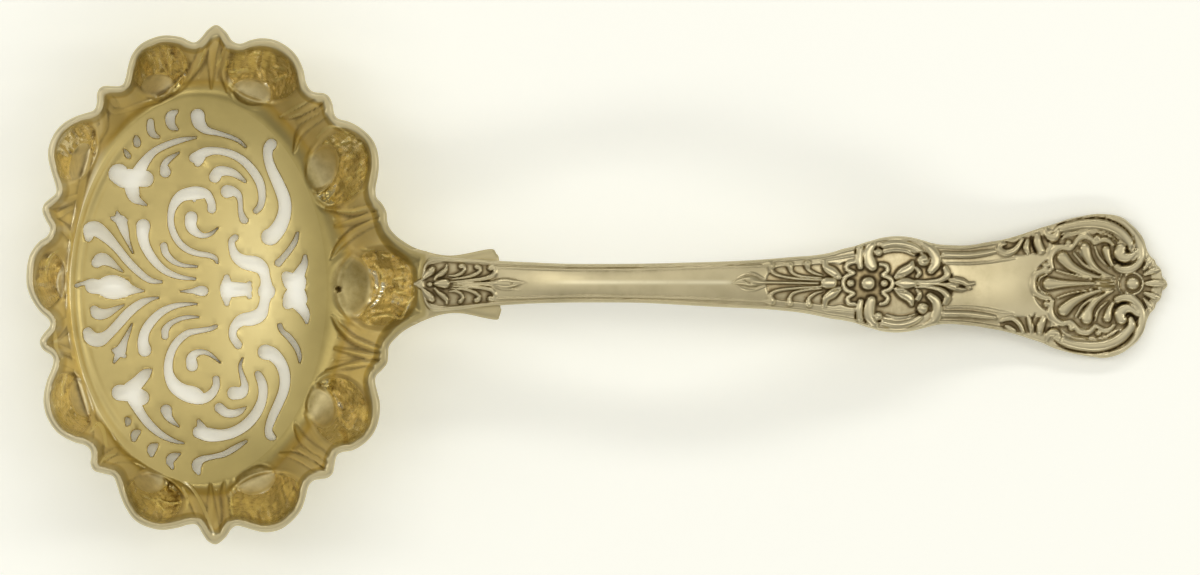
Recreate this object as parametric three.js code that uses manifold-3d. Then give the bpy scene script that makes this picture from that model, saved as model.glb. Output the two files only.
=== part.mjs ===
// Sugar sifter spoon of antique silver. The bowl is a gilt, pierced and scalloped sheet with a flared tang.
// The handle is a struck bar with scrolls, shells and threads, lapped on the tang over a film of solder.
// Lengths are in millimetres. +X runs to the handle end, +Y to the photograph's upper side, +Z up.
import * as THREE from 'three';
import { mergeVertices } from 'three/addons/utils/BufferGeometryUtils.js';
import Module from 'manifold-3d';

// Bowl sizes
const bowlLength = 57.1;
const bowlWidth = 75;
const bowlDepth = 14;
const floorLength = 37.4;
const floorWidth = 55.8;
const sheetThickness = 1;
const flangeWidth = 1.1;
const ribHeight = 0.55;
const scoopDepth = 0.6;

// Tang sizes
const tangWidth = 10.6;
const tangThickness = 1.5;

// Handle sizes
const handleLength = 109.5;
const handleEndWidth = 21;
const seatLength = 12.5;
const seatThickness = 2;
const stemThickness = 3;
const endThickness = 2.3;
const archRise = 6;
const reliefHeight = 0.55;
const reliefFullHalfWidth = 0.73;

// Joint sizes
const solderThickness = 0.08;

// Working sizes
const overrun = 0.5;
const mergeTolerance = 0.0001;

// Counts
const rimSteps = 150;
const wallSteps = 6;
const strokeSteps = 2;
const capSteps = 3;

// Ends of the flat floor along and across the bowl, in pixels of the photograph
const floorPixels = [[71, 290], [327, 290], [199, 99], [199, 481]];

// Rim of the bowl from the tip above the neck round to the tip below it, read from the photograph
const rimPixels = [
  [424, 266], [422, 251], [407, 243], [396, 234.5], [389.5, 224], [388, 214], [378.5, 198],
  [378.5, 186],  [381, 167], [377, 146], [365, 131], [350, 122.5], [340, 119.5], [336.5, 108], [328, 95.6],
  [314, 92.5], [308.5, 82], [304, 66], [291, 49.4], [266, 41], [246, 46.3], [237, 43],
  [230, 34], [220.8, 27.8], [211, 34], [202, 44.5], [188, 41], [168, 38.4], [146, 46.5],
  [133.5, 68], [129.5, 86], [117, 88.2], [105, 91], [102.4, 104], [97, 113.5], [76, 121],
  [59, 138], [54.4, 158], [61.5, 186], [61, 196], [50, 206], [49.5, 215], [57, 231],
  [49, 239], [36, 256], [33, 276], [35, 292], [45, 310], [57, 324], [47, 338],
  [50, 349.5], [59.6, 360], [51.5, 384], [51.2, 410], [65, 432.3], [91, 443.6], [96.8, 455],
  [99.6, 469.5], [118, 474.5], [124, 489], [134, 511], [151.6, 524], [182, 525.3], [202, 522.5],
  [209.5, 535], [220.8, 541.4], [231, 533.5], [240.5, 523.3], [270, 529.6], [296, 518], [308, 498],
  [312, 483.5], [325, 476.6], [335.5, 472.5], [339, 455], [357, 448], [377.5, 429], [382, 407],
  [378, 378], [387, 366], [390, 352], [396, 340], [406, 330.5], [422, 321], [424, 304],
];

// Tips of the rim, which ribs run in from, and the place that they run toward
const tipPixels = [
  [389, 213], [329, 97], [220.8, 30], [105, 91], [51, 207], [49, 341], [99, 466], [220.8, 541], [333, 474],
  [390, 357],
];
const hubPixel = [217, 284.6];

// Tang from the bowl's rim to its flared end, upper side and then lower side
const tangPixels = [
  [419, 249.4], [438, 254.3], [455, 256], [472, 253], [491.7, 249.4],
  [497.5, 253.8], [500.5, 262], [501, 305], [502.2, 310], [498, 319.4], [475.5, 315.3], [455, 313.1],
  [443, 314.4], [419, 322],
];

// Piercings as strokes of x, y and half width, pairs of strokes overlapping where a scroll forks
const piercingPixels = [
  [[125, 150, 1], [127, 153.5, 2.4], [129, 156.3, 2.4]],
  [[136.5, 136.5, 1.2], [137.2, 141, 3.4], [137.6, 144, 3.4]],
  [[151, 122, 3.2], [151, 129, 3.9], [153.5, 134.5, 3.2], [159, 137.2, 1.3]],
  [[177, 111.5, 1.6], [171.5, 115.5, 4.4], [170.5, 121, 4.8], [172.5, 126.5, 3.6], [177.5, 129.3, 1.2]],
  [[198, 116, 7], [199.5, 123, 6.2], [206, 130, 3.9], [217, 133, 2.5], [229, 136.5, 2], [246, 147, 1]],
  [[119, 174, 10], [126, 178, 8], [146, 179, 8.5]],
  [[131, 180, 8], [133, 192, 6.8], [136, 199, 4.5], [146.5, 205, 1]],
  [[139, 172, 6.5], [145, 162, 5], [154, 152, 3.6], [166, 145.5, 3.2], [181, 140.3, 2.6], [196, 137.6, 1]],
  [[165.5, 172, 5.5], [164.5, 165.5, 3.3], [169, 159.5, 2.8], [179, 152.8, 0.9]],
  [
    [198, 160, 6.5], [205, 153.5, 5], [216, 150.8, 3.7], [230, 153.5, 3.7], [243, 160.5, 3.9],
    [253.5, 171.5, 4.2], [260.5, 184, 4.1], [262.3, 197, 3.6], [260.5, 206, 3.2], [256.2, 211, 2.8],
  ],
  [[215, 177, 5.8], [219, 171.8, 5.4], [227, 171.2, 4.4], [236, 174.3, 3.3], [245.5, 181.8, 1.3]],
  [[227.5, 191.5, 6.6], [234, 191.5, 4.6], [239, 196, 3.2], [241, 210, 2.6], [243.8, 219, 3.4]],
  [
    [270, 146, 5.8], [268.3, 158, 4.5], [272, 170, 5], [278.5, 184, 5.8], [284.5, 200, 6.3],
    [284.5, 214, 6.6], [279.5, 227, 7.5], [270, 237, 8.2],
  ],
  [[278.5, 263, 3.6], [283.5, 257.5, 3], [290.5, 249, 2.7], [295.5, 241, 2.5], [297.8, 233, 1.3]],
  [
    [89.5, 236, 5], [96.5, 232, 7.2], [106, 236, 6], [117, 247.5, 4.2], [128, 261, 3.9],
    [139, 272, 3.6], [150, 280, 2.9], [161.5, 282, 1.4],
  ],
  [[98, 262, 5.6], [103, 260, 6], [109, 261.3, 4.6], [116, 266.3, 2.6], [123, 271.6, 0.8]],
  [[117.5, 213, 1.4], [119.5, 219, 5.6], [124.8, 231, 4.2], [128.5, 242, 1.9], [133.3, 253, 0.7]],
  [
    [143.5, 226, 7], [143, 236, 5.7], [146, 247, 4.8], [154, 260, 4.2], [165, 270.5, 3.4],
    [179, 276.6, 2.5], [195, 279, 1.2],
  ],
  [[164, 246, 3.6], [166, 253, 3.4], [172, 260, 2.8], [182, 265, 2], [197, 266.5, 1]],
  [
    [212, 208, 4.4], [210, 198, 4.4], [200, 193.5, 6.2], [181, 196.5, 5.6], [174, 205, 4.4],
    [171, 216, 3.3], [172, 228, 3.3], [177.5, 240, 3.3], [186, 248.5, 3.2], [197, 253.3, 2.8],
    [208, 255, 2.6], [217.5, 262.5, 1.4],
  ],
  [[191.5, 217.5, 6.2], [191, 225, 5.6], [195, 231.5, 4.3], [203, 235.6, 2.6], [218, 228, 0.7]],
  [[77, 285.7, 2], [86, 283, 2.6], [97, 286, 7.5], [113, 287, 12], [132, 289.8, 4.6], [144, 291, 0.8]],
  [[181, 291.3, 0.6], [193, 291, 2.5], [203.5, 291, 5]],
  [[226.5, 277, 3], [226, 290, 6.4], [227, 303.5, 2.5]],
  [[226, 289.5, 8], [238, 289.3, 7.2], [246, 289.3, 6]],
  [[250, 283.5, 2.4], [247, 289, 4.5], [250, 297, 2.4]],
  [
    [235.5, 237.5, 3.3], [232, 246, 3.6], [236.5, 256.5, 5.2], [247, 262.5, 7], [259, 267, 7],
    [265.5, 278, 5], [267, 291, 6.6], [264.5, 303, 5], [261, 313.5, 6.6], [251, 318.5, 7],
    [240, 321, 5.6], [233.5, 330, 4], [234.5, 339, 3.8], [239, 345, 3.8],
  ],
  [
    [305.3, 256.5, 1.9], [304, 265, 3.6], [297, 275, 7.4], [297, 288, 7.5], [298, 299, 8.8],
    [302, 308, 5.6], [306.5, 321, 2],
  ],
  [[286.5, 276, 4.8], [296, 284, 6], [288, 304, 5.2]],
  [[127, 418, 1.2], [128.5, 421, 3.2], [127.5, 424.5, 1.6]],
  [[139.5, 431.5, 1.8], [135.5, 434, 3.9], [134.3, 439, 2.4]],
  [[157.5, 444.5, 1.4], [152.5, 448.5, 4.6], [152, 454.5, 2.2]],
  [[180, 453.6, 1], [173, 457, 4], [170.3, 461, 3.8], [172.8, 467.5, 1.6]],
  [
    [198.8, 472.5, 2.2], [197, 465, 4.9], [202, 459.5, 3.4], [212, 456.8, 2.4], [224, 454, 2.7],
    [246.5, 441, 1.2],
  ],
  [[151.5, 369.5, 1.4], [146, 375, 5.4], [138, 383, 6.4], [131, 389.5, 8]],
  [[120, 392.5, 8], [131, 392.5, 8], [142, 397.5, 7.8]],
  [
    [134.5, 398, 7], [140.5, 412, 4.6], [150, 424.5, 4.2], [162.5, 435, 3.2], [175, 441, 1.9],
    [184, 443, 0.7],
  ],
  [[166.5, 410, 5.6], [168.5, 416, 4], [173, 421.5, 2.4], [179, 426.3, 0.7]],
  [
    [200, 430, 6], [209, 434.5, 6.8], [222, 435, 5.6], [235, 431.5, 5.2], [247.5, 423.5, 5.2],
    [257, 412, 5], [262.5, 399, 4.5], [263, 386, 4.6], [258.5, 374.5, 3.4],
  ],
  [[219.5, 407.5, 4.8], [226, 412.5, 4.4], [234, 413.3, 3.8], [245.5, 407.5, 1.1]],
  [[234, 393, 6.6], [242, 391.5, 5], [244.8, 385, 3.8], [242.5, 376, 2.5], [242, 359, 0.9]],
  [
    [265.5, 352, 7.6], [275, 356, 6.6], [282, 365, 5.8], [285, 377, 5.4], [284, 390, 5],
    [278.5, 404, 4.6], [272.5, 417, 4.3], [268.8, 429, 3.7], [271.5, 436.5, 3.2],
  ],
  [[280, 325.5, 2.4], [282.5, 331, 2.3], [289.5, 337.5, 2.9], [296.5, 347, 2.6], [300, 362, 0.9]],
  [
    [89, 334, 5.4], [99, 338.5, 6.8], [109, 334, 4.9], [119, 323.5, 4.7], [129, 312.5, 4.6],
    [141, 303.2, 3.8], [158.5, 297.7, 0.9],
  ],
  [[95.5, 311, 5], [105, 313, 4.8], [115, 309.5, 2.8], [124, 305, 0.9]],
  [[115, 360.5, 1.8], [119, 352, 5.4], [125, 341, 3], [132.4, 324, 0.7]],
  [
    [145, 350, 6.6], [143.3, 341.5, 5.4], [145.5, 331, 4.7], [152.5, 320.5, 4.4], [162.5, 311.5, 3.7],
    [175, 306, 2.8], [197, 304, 0.8],
  ],
  [[165.3, 336, 3.4], [165.5, 330, 3.6], [170.5, 323.7, 2.6], [179, 319.3, 2.2], [198.5, 317, 0.9]],
  [
    [216.3, 379, 3.4], [216, 387, 3.6], [211, 395, 4.4], [203, 398, 5.6], [193.5, 395, 8.6],
    [183.5, 391.5, 7.8], [174.5, 385, 6.4], [169, 373.5, 4.8], [169, 361, 4.2], [172.5, 349.5, 3.9],
    [179, 340, 3.7], [188.5, 333, 3.3], [200, 330.6, 2.6], [216, 326.3, 1.9],
  ],
  [[192.3, 365.5, 5.8], [191.5, 359, 5], [195, 354, 3.8], [202, 351.8, 2.6], [220.5, 362.5, 0.7]],
];

// Handle outline as x with its upper and lower edge, from the point on the tang to the crest
const handlePixels = [
  [416.3, 282, 286], [420, 279.5, 288.5], [424, 277, 291], [425, 268, 298], [427, 262.8, 304],
  [430.6, 258.8, 309], [436, 257.4, 311.3], [450, 257.9, 310.3], [465, 258.8, 308.8], [483, 259.7, 306.8],
  [502, 261.2, 305.2], [530, 262.5, 303.5], [565, 264, 302.5], [600, 264.2, 302.3], [640, 264, 302.7],
  [685, 262.9, 305], [725, 261.7, 307.2], [760, 259.8, 308.7], [791, 257.2, 311.5], [810, 255.8, 314.4],
  [828, 252.9, 318.3], [840, 249.3, 320], [852, 246.5, 322.5], [862, 243, 326], [871, 240.4, 328.6],
  [881, 237.8, 331.2], [894, 236.5, 332.2], [907, 237.3, 331.2], [919, 240, 328.6], [930, 243.3, 325.8],
  [940, 244.8, 324], [952, 245.4, 324], [963, 245.5, 325], [974, 244.5, 326], [984, 242.5, 327.8],
  [1000, 240, 330.5], [1015, 236.1, 334.3], [1030, 231.2, 339], [1041, 227.5, 342.6], [1053, 224, 348],
  [1068, 219, 352.4], [1082, 216, 355.4], [1094, 214.1, 357.2], [1104, 214.1, 357.9], [1115, 215.4, 355.6],
  [1123, 218.4, 352], [1130, 223.9, 347], [1137, 230.6, 341], [1143, 240, 331.7], [1146, 249, 321],
  [1150, 256, 312.5], [1155, 262, 305], [1160.4, 270, 297], [1164, 278, 291], [1166.5, 283, 286.5],
];

// Section of the handle as shares of its half width and of its thickness, up one side
const sectionShares = [
  [0.9, 0], [1, 0.3], [1, 0.66], [0.93, 0.82], [0.84, 0.66], [0.72, 0.8], [0.6, 0.68], [0.3, 0.78],
];
const crownShare = 0.86;

// Where the handle thickens toward the stem, as shares of the seat, and thins toward the end
const stemStartShare = 0.6;
const stemFullShare = 2;
const endStartShare = 0.5;

// Where the arch of the back is highest, as a share of the free handle
const archPeakShare = 1 / 3;

// Wall of the bowl: how far its steep part is set out, and angles in degrees of a rib and its shoulders
const wallSkewShare = 0.62;
const ribHalfAngle = 4;
const shoulderAngles = [6, 14];

// Section of the raised work on the handle, as shares of its rise, half width and the bar's thickness
const reliefRootShare = 0.4;
const reliefShoulderShare = 0.3;
const reliefTopShare = 0.85;
const reliefFlatShare = 0.55;
const reliefThinShare = 0.4;
const reliefTailShares = [0.8, 0.5, 0.3];

// Raised scrolls, flutes and leaves on the handle, as strokes of x, y and half width
const reliefPixels = [
  [[430, 267, 3], [434, 272, 4.6], [431, 277, 2]],
  [[430, 302, 3], [434, 297, 4.6], [431, 292, 2]],
  [[428, 284, 2.4], [433, 284, 3]],
  [[440, 284, 4], [448, 284, 6]],
  [[441, 276, 2], [447, 272, 3], [449, 266, 2]],
  [[441, 292, 2], [447, 297, 3], [449, 303, 2]],
  [[455, 279, 1.2], [478, 277.5, 2], [493, 276, 3], [493, 269, 4.4]],
  [[455, 290, 1.2], [478, 290, 2], [493, 291, 3], [492, 298, 4.2]],
  [[463, 274, 2], [466, 270, 2.4], [462, 267, 3.4]],
  [[458, 292, 2], [463, 296, 2.4], [462, 301, 2.8]],
  [[478, 272, 2.2], [479, 267, 3.6]],
  [[478, 295, 2.2], [478, 300, 3.2]],
  [[456, 284, 1.5], [490, 283, 4], [512, 283, 6], [524, 283, 1.5]],
  [[728, 282, 1.5], [742, 281, 6], [755, 282, 6], [790, 283, 3], [816, 284, 1.5]],
  [[768, 264, 4.4], [767, 272, 3.4], [775, 276, 2.4], [812, 280, 1.2]],
  [[768, 302, 4.4], [767, 294, 3.4], [775, 290, 2.4], [812, 287.5, 1.2]],
  [[787, 265, 4], [790, 272, 3], [815, 278, 1.2]],
  [[786, 303, 4], [788, 295, 3], [815, 290, 1.2]],
  [[805, 263, 4], [806, 270, 3], [818, 275, 1.2]],
  [[805, 304, 4], [806, 296, 3], [818, 292, 1.2]],
  [[826, 283, 7.4], [831, 283, 6.6]],
  [[820, 261, 2.4], [824, 269, 3.2], [835, 273, 3]],
  [[820, 306, 2.4], [825, 297, 3.2], [835, 292, 3]],
  [[846, 264, 4], [843, 273, 3.6], [841, 284, 2.6], [843, 293, 3.6], [847, 303, 4]],
  [[858, 252, 6], [859, 262, 6], [868, 266, 6.6]],
  [[858, 316, 6], [859, 305, 6], [868, 300, 6.6]],
  [[864, 284, 7], [867, 284, 7]],
  [[846, 284, 3.4], [849, 284, 3.4]],
  [[880, 284, 4.2], [884, 284, 3.8]],
  [[875, 253, 4], [878, 246, 4.4], [896, 245, 5], [914, 249, 5], [922, 260, 7.5]],
  [[875, 316, 4], [879, 322, 4.4], [896, 323, 5], [914, 319, 5], [922, 308, 7.5]],
  [[918, 244, 2.4], [930, 250, 5.4], [935, 260, 5.4], [930, 270, 6]],
  [[918, 325, 2.4], [930, 318, 5.4], [935, 308, 5.4], [930, 299, 6]],
  [[884, 266, 5], [897, 270, 6], [904, 283, 8], [897, 297, 6], [886, 303, 5]],
  [[914, 282, 1.6], [936, 279, 3], [946, 273, 3.6], [942, 267, 2.6]],
  [[914, 288, 1.6], [936, 290, 3], [946, 296, 3.6], [942, 302, 2.6]],
  [[916, 284, 1.5], [940, 284, 4], [955, 285, 7], [974, 284, 2]],
  [[1001, 246, 6], [1012, 248, 4], [1020, 240, 3]],
  [[1001, 323, 6], [1012, 321, 4], [1020, 329, 3]],
  [[1037, 240, 5.4], [1039, 250, 5.4]],
  [[1037, 328, 5.4], [1038, 319, 5.4]],
  [
    [1051, 236, 5.4], [1060, 228, 5.4], [1082, 222.5, 6], [1104, 222, 6.6], [1124, 232, 7],
    [1131, 247, 7], [1122, 254, 9],
  ],
  [
    [1051, 333, 5.4], [1060, 341, 5.4], [1082, 346.5, 6], [1104, 347, 6.6], [1124, 337, 7],
    [1131, 321, 7], [1122, 314, 9],
  ],
  [[1118, 266, 5], [1130, 265, 5.6], [1139, 255, 5]],
  [[1118, 301, 5], [1130, 302, 5.6], [1139, 313, 5]],
  [[1047, 284, 7.4], [1060, 284, 6], [1090, 284, 3], [1110, 284, 1.2]],
  [[1062, 258, 6.6], [1074, 266, 5], [1096, 275, 2.6]],
  [[1063, 310, 6.6], [1074, 302, 5], [1096, 293, 2.6]],
  [[1084, 249, 6], [1091, 259, 4.6], [1106, 272, 2]],
  [[1086, 320, 6], [1091, 308, 4.6], [1106, 296, 2]],
  [[1105, 248, 4.6], [1107, 258, 3.4]],
  [[1106, 320, 4.6], [1107, 309, 3.4]],
  [[1129, 284, 7], [1132, 284, 7]],
  [[1143, 284, 2.4], [1157, 284, 4.4]],
  [[1143, 277, 2], [1153, 272, 4]],
  [[1143, 291, 2], [1153, 297, 4]],
  [[1143, 270, 2], [1149, 263, 3.4]],
  [[1143, 298, 2], [1149, 305, 3.4]],
];

// Solder film inside the seat of the handle
const solderPixels = [
  [429, 266], [440, 262.5], [470, 262.5], [497, 265], [497, 302], [470, 305.5], [440, 306.5], [429, 302],
];

// Middle and size of the box round a table of pixels
function pixelBox(pixels) {
  const box = new THREE.Box2().setFromPoints(pixels.map(([x, y]) => new THREE.Vector2(x, y)));
  return { centre: box.getCenter(new THREE.Vector2()), size: box.getSize(new THREE.Vector2()) };
}

// Derived sizes
const seatHeight = bowlDepth;
const handleBase = seatHeight + solderThickness;
const rimBox = pixelBox(rimPixels);
const floorBox = pixelBox(floorPixels);
const tangBox = pixelBox(tangPixels);
const handleBox = pixelBox(handlePixels.flatMap(([x, upper, lower]) => [[x, upper], [x, lower]]));
const handleScale = new THREE.Vector2(handleLength, handleEndWidth).divide(handleBox.size);
const bowlScale = new THREE.Vector2(bowlLength, bowlWidth).divide(rimBox.size);
const floorScale = new THREE.Vector2(floorLength, floorWidth).divide(floorBox.size);
const tangScale = new THREE.Vector2(handleScale.x, tangWidth / tangBox.size.y);
const neckPixel = rimBox.centre.x + rimBox.size.x / 2;
const axisPixel = rimBox.centre.y;
const [[handleStartPixel]] = handlePixels;

const wasm = await Module();
wasm.setup();

// Places in the plan, from pixels of the photograph
const onHandle = (x, y) => new THREE.Vector2(x - handleStartPixel, axisPixel - y).multiply(handleScale);
const onTang = (x, y) => new THREE.Vector2(x - handleStartPixel, axisPixel - y).multiply(tangScale);
const neck = onHandle(neckPixel, axisPixel);
const onBowl = (x, y) => new THREE.Vector2(x - neckPixel, axisPixel - y).multiply(bowlScale).add(neck);
const floorCentre = onBowl(floorBox.centre.x, floorBox.centre.y);
const onFloor = (x, y) => {
  const offset = new THREE.Vector2(x - floorBox.centre.x, floorBox.centre.y - y);
  return offset.multiply(floorScale).add(floorCentre);
};

function toSolid(geometry) {
  const bare = geometry.clone();
  bare.deleteAttribute('normal');
  bare.deleteAttribute('uv');
  const merged = mergeVertices(bare, mergeTolerance);
  return new wasm.Manifold(new wasm.Mesh({
    numProp: 3,
    vertProperties: new Float32Array(merged.attributes.position.array),
    triVerts: new Uint32Array(merged.index.array),
  }));
}

function toGeometry(solid) {
  const mesh = solid.getMesh();
  const geometry = new THREE.BufferGeometry();
  geometry.setAttribute('position', new THREE.BufferAttribute(mesh.vertProperties, 3));
  geometry.setIndex(new THREE.BufferAttribute(mesh.triVerts, 1));
  geometry.computeVertexNormals();
  return geometry;
}

const unite = (solids) => solids.reduce((sum, solid) => sum.add(solid));

// Closed skin over rings of equally many points, each end closed by a fan
function loft(rings) {
  const count = rings[0].length;
  const points = rings.flat();
  const index = [];
  for (let ring = 0; ring + 1 < rings.length; ring += 1) {
    for (let step = 0; step < count; step += 1) {
      const a = ring * count + step;
      const b = ring * count + (step + 1) % count;
      index.push(a, b, b + count, a, b + count, a + count);
    }
  }
  const ends = [rings[0], rings.at(-1)];
  ends.forEach((ring, end) => {
    const centre = ring.reduce((sum, point) => sum.add(point), new THREE.Vector3()).divideScalar(count);
    const hub = points.push(centre) - 1;
    const first = end === 0 ? 0 : (rings.length - 1) * count;
    for (let step = 0; step < count; step += 1) {
      const a = first + step;
      const b = first + (step + 1) % count;
      index.push(...(end === 0 ? [hub, b, a] : [hub, a, b]));
    }
  });
  const geometry = new THREE.BufferGeometry().setFromPoints(points);
  geometry.setIndex(index);
  return geometry;
}

// Points along a stroke in the plan, each with its sideways direction and half width
function walkStroke(stroke, place, scale) {
  const curve = new THREE.CatmullRomCurve3(stroke.map(([x, y, half]) => {
    const point = place(x, y);
    return new THREE.Vector3(point.x, point.y, half * scale);
  }), false, 'centripetal');
  const steps = (stroke.length - 1) * strokeSteps;
  return Array.from({ length: steps + 1 }, (_, step) => {
    const at = curve.getPoint(step / steps);
    const along = curve.getTangent(step / steps);
    const side = new THREE.Vector2(-along.y, along.x).normalize();
    return { at: new THREE.Vector2(at.x, at.y), side, half: at.z };
  });
}

// Outline of a stroke with round ends
function strokeOutline(walk) {
  const edge = (sign) => walk.map(({ at, side, half }) => at.clone().addScaledVector(side, sign * half));
  const roundEnd = ({ at, side, half }, sign) => Array.from({ length: capSteps - 1 }, (_, step) => {
    const turn = Math.PI * (step + 1) / capSteps;
    const out = side.clone().multiplyScalar(sign).rotateAround(new THREE.Vector2(), -turn);
    return at.clone().addScaledVector(out, half);
  });
  return [...edge(1), ...roundEnd(walk.at(-1), 1), ...edge(-1).reverse(), ...roundEnd(walk[0], -1)];
}

function plate(outline, base, thickness) {
  const geometry = new THREE.ExtrudeGeometry(new THREE.Shape(outline), {
    depth: thickness,
    bevelEnabled: false,
    steps: 1,
  });
  return geometry.translate(0, 0, base);
}

// Height of the handle's back above the table: level on the tang, then an arch that runs out flat
function backHeight(x) {
  const share = THREE.MathUtils.clamp((x - seatLength) / (handleLength - seatLength), 0, 1);
  const archPeak = archPeakShare ** 2 * (1 - archPeakShare) ** 4;
  const arch = share ** 2 * (1 - share) ** 4 / archPeak;
  return handleBase * (1 - THREE.MathUtils.smoothstep(share, 0, 1)) + archRise * arch;
}

function handleThickness(x) {
  const stem = THREE.MathUtils.smoothstep(x, seatLength * stemStartShare, seatLength * stemFullShare);
  const end = THREE.MathUtils.smoothstep(x, handleLength * endStartShare, handleLength);
  const root = THREE.MathUtils.lerp(seatThickness, stemThickness, stem);
  return THREE.MathUtils.lerp(root, endThickness, end);
}

// Inside of the bowl's wall: shares of the way in from rim to floor, and heights
function wallProfile(run) {
  const flange = flangeWidth / run;
  const profile = [[0, bowlDepth], [flange, bowlDepth]];
  for (let step = 1; step <= wallSteps; step += 1) {
    const share = step / wallSteps;
    const height = (1 + Math.cos(Math.PI * share ** wallSkewShare)) / 2;
    profile.push([flange + (1 - flange) * share, sheetThickness + (bowlDepth - sheetThickness) * height]);
  }
  return profile;
}

// Angle of a place round the bowl, stretched as the bowl is
function roundBowl(point) {
  const hub = onBowl(...hubPixel);
  return Math.atan2((point.y - hub.y) / bowlWidth, (point.x - hub.x) / bowlLength);
}

const ribAngles = tipPixels.map(([x, y]) => THREE.MathUtils.radToDeg(roundBowl(onBowl(x, y))));

// Ribs stand in from the wall under the tips, and the lobe between each two is scooped out
function wallRelief(angle, share) {
  const gaps = ribAngles.map((rib) => Math.abs(THREE.MathUtils.euclideanModulo(angle - rib + 180, 360) - 180));
  const gap = Math.min(...gaps);
  const fade = Math.sin(Math.PI * THREE.MathUtils.clamp(share, 0, 1));
  const rib = ribHeight * Math.exp(-((gap / ribHalfAngle) ** 2));
  const scoop = scoopDepth * THREE.MathUtils.smoothstep(gap, ...shoulderAngles);
  return (rib - scoop) * fade;
}

function bowlShell() {
  const rim = new THREE.CatmullRomCurve3(rimPixels.map(([x, y]) => {
    const point = onBowl(x, y);
    return new THREE.Vector3(point.x, point.y, 0);
  }), true, 'centripetal').getSpacedPoints(rimSteps).slice(0, rimSteps);
  const columns = rim.map((point) => {
    const angle = roundBowl(point);
    const foot = new THREE.Vector3(
      floorCentre.x + floorLength / 2 * Math.cos(angle),
      floorCentre.y + floorWidth / 2 * Math.sin(angle),
      0,
    );
    const inward = foot.clone().sub(point);
    const run = inward.length();
    inward.normalize();
    const profile = wallProfile(run).map(([share, height]) => new THREE.Vector2(share * run, height));
    const normals = profile.map((_, step) => {
      const before = profile[Math.max(step - 1, 0)];
      const after = profile[Math.min(step + 1, profile.length - 1)];
      const level = step === 0 || step === profile.length - 1;
      const slope = after.clone().sub(before);
      return level ? new THREE.Vector2(0, 1) : new THREE.Vector2(-slope.y, slope.x).normalize();
    });
    const degrees = THREE.MathUtils.radToDeg(angle);
    const place = (step, offset) => {
      const share = (step - 1) / wallSteps;
      const lift = step < 2 ? offset : offset + wallRelief(degrees, share);
      const spot = profile[step].clone().addScaledVector(normals[step], lift);
      const at = point.clone().addScaledVector(inward, spot.x);
      return at.setZ(spot.y);
    };
    const under = profile.map((_, step) => place(step, -sheetThickness)).reverse();
    const inside = profile.map((_, step) => place(step, 0));
    return [...under, ...inside];
  });
  const rings = columns[0].map((_, level) => columns.map((column) => column[level]));
  return toSolid(loft(rings));
}

function makeBowl() {
  const pixelToMean = (floorScale.x + floorScale.y) / 2;
  const cutters = piercingPixels.map((stroke) => {
    const outline = strokeOutline(walkStroke(stroke, onFloor, pixelToMean));
    return toSolid(plate(outline, -overrun, sheetThickness + 2 * overrun));
  });
  const tang = plate(tangPixels.map(([x, y]) => onTang(x, y)), seatHeight - tangThickness, tangThickness);
  return toGeometry(bowlShell().subtract(unite(cutters)).add(toSolid(tang)));
}

function handleBar() {
  const rings = handlePixels.map(([x, upper, lower]) => {
    const top = onHandle(x, upper);
    const bottom = onHandle(x, lower);
    const middle = (top.y + bottom.y) / 2;
    const half = (top.y - bottom.y) / 2;
    const base = backHeight(top.x);
    const thickness = handleThickness(top.x);
    const point = (across, up) => new THREE.Vector3(top.x, middle + across * half, base + up * thickness);
    const left = sectionShares.map(([across, up]) => point(across, up));
    const right = sectionShares.map(([across, up]) => point(-across, up)).reverse();
    return [...left, point(0, crownShare), ...right];
  });
  return toSolid(loft(rings));
}

// One raised stroke on the handle's face, domed across
function reliefStroke(stroke) {
  const walk = walkStroke(stroke, onHandle, handleScale.y);
  const [tailReach, tailHalf, tailRise] = reliefTailShares;
  const ends = [[walk[0], -1], [walk.at(-1), 1]].map(([place, sign]) => {
    const along = new THREE.Vector2(place.side.y, -place.side.x).multiplyScalar(sign * place.half * tailReach);
    return { at: place.at.clone().add(along), side: place.side, half: place.half * tailHalf, low: true };
  });
  const rings = [ends[0], ...walk, ends[1]].map(({ at, side, half, low }) => {
    const thickness = handleThickness(at.x);
    const root = backHeight(at.x) + thickness * reliefRootShare;
    const face = backHeight(at.x) + thickness * sectionShares.at(-1)[1];
    const rise = reliefHeight * Math.min(1, reliefThinShare + half / reliefFullHalfWidth) * (low ? tailRise : 1);
    const shoulder = face + rise * reliefShoulderShare;
    const top = face + rise * reliefTopShare;
    const point = (across, height) => new THREE.Vector3(
      at.x + side.x * half * across,
      at.y + side.y * half * across,
      height,
    );
    return [
      point(-1, root), point(1, root), point(1, shoulder), point(reliefFlatShare, top),
      point(-reliefFlatShare, top), point(-1, shoulder),
    ];
  });
  return toSolid(loft(rings));
}

function makeHandle() {
  return toGeometry(unite([handleBar(), ...reliefPixels.map(reliefStroke)]));
}

function makeSolder() {
  return plate(solderPixels.map(([x, y]) => onHandle(x, y)), seatHeight, solderThickness);
}

const pieces = [
  ['bowl', makeBowl(), { color: '#9d8a50', roughness: 0.28, metalness: 1 }],
  ['handle', makeHandle(), { color: '#bfb48f', roughness: 0.25, metalness: 1 }],
  ['solder_joint', makeSolder(), { color: '#8f8a7c', roughness: 0.45, metalness: 1 }],
];

const spoon = new THREE.Group();
spoon.name = 'sugar_sifter_spoon';
for (const [name, geometry, finish] of pieces) {
  const mesh = new THREE.Mesh(geometry, new THREE.MeshStandardMaterial(finish));
  mesh.name = name;
  spoon.add(mesh);
}
const box = new THREE.Box3().setFromObject(spoon);
const middle = box.getCenter(new THREE.Vector3());
spoon.children.forEach((mesh) => mesh.position.set(-middle.x, -middle.y, -box.min.z));

export default spoon;
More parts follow.
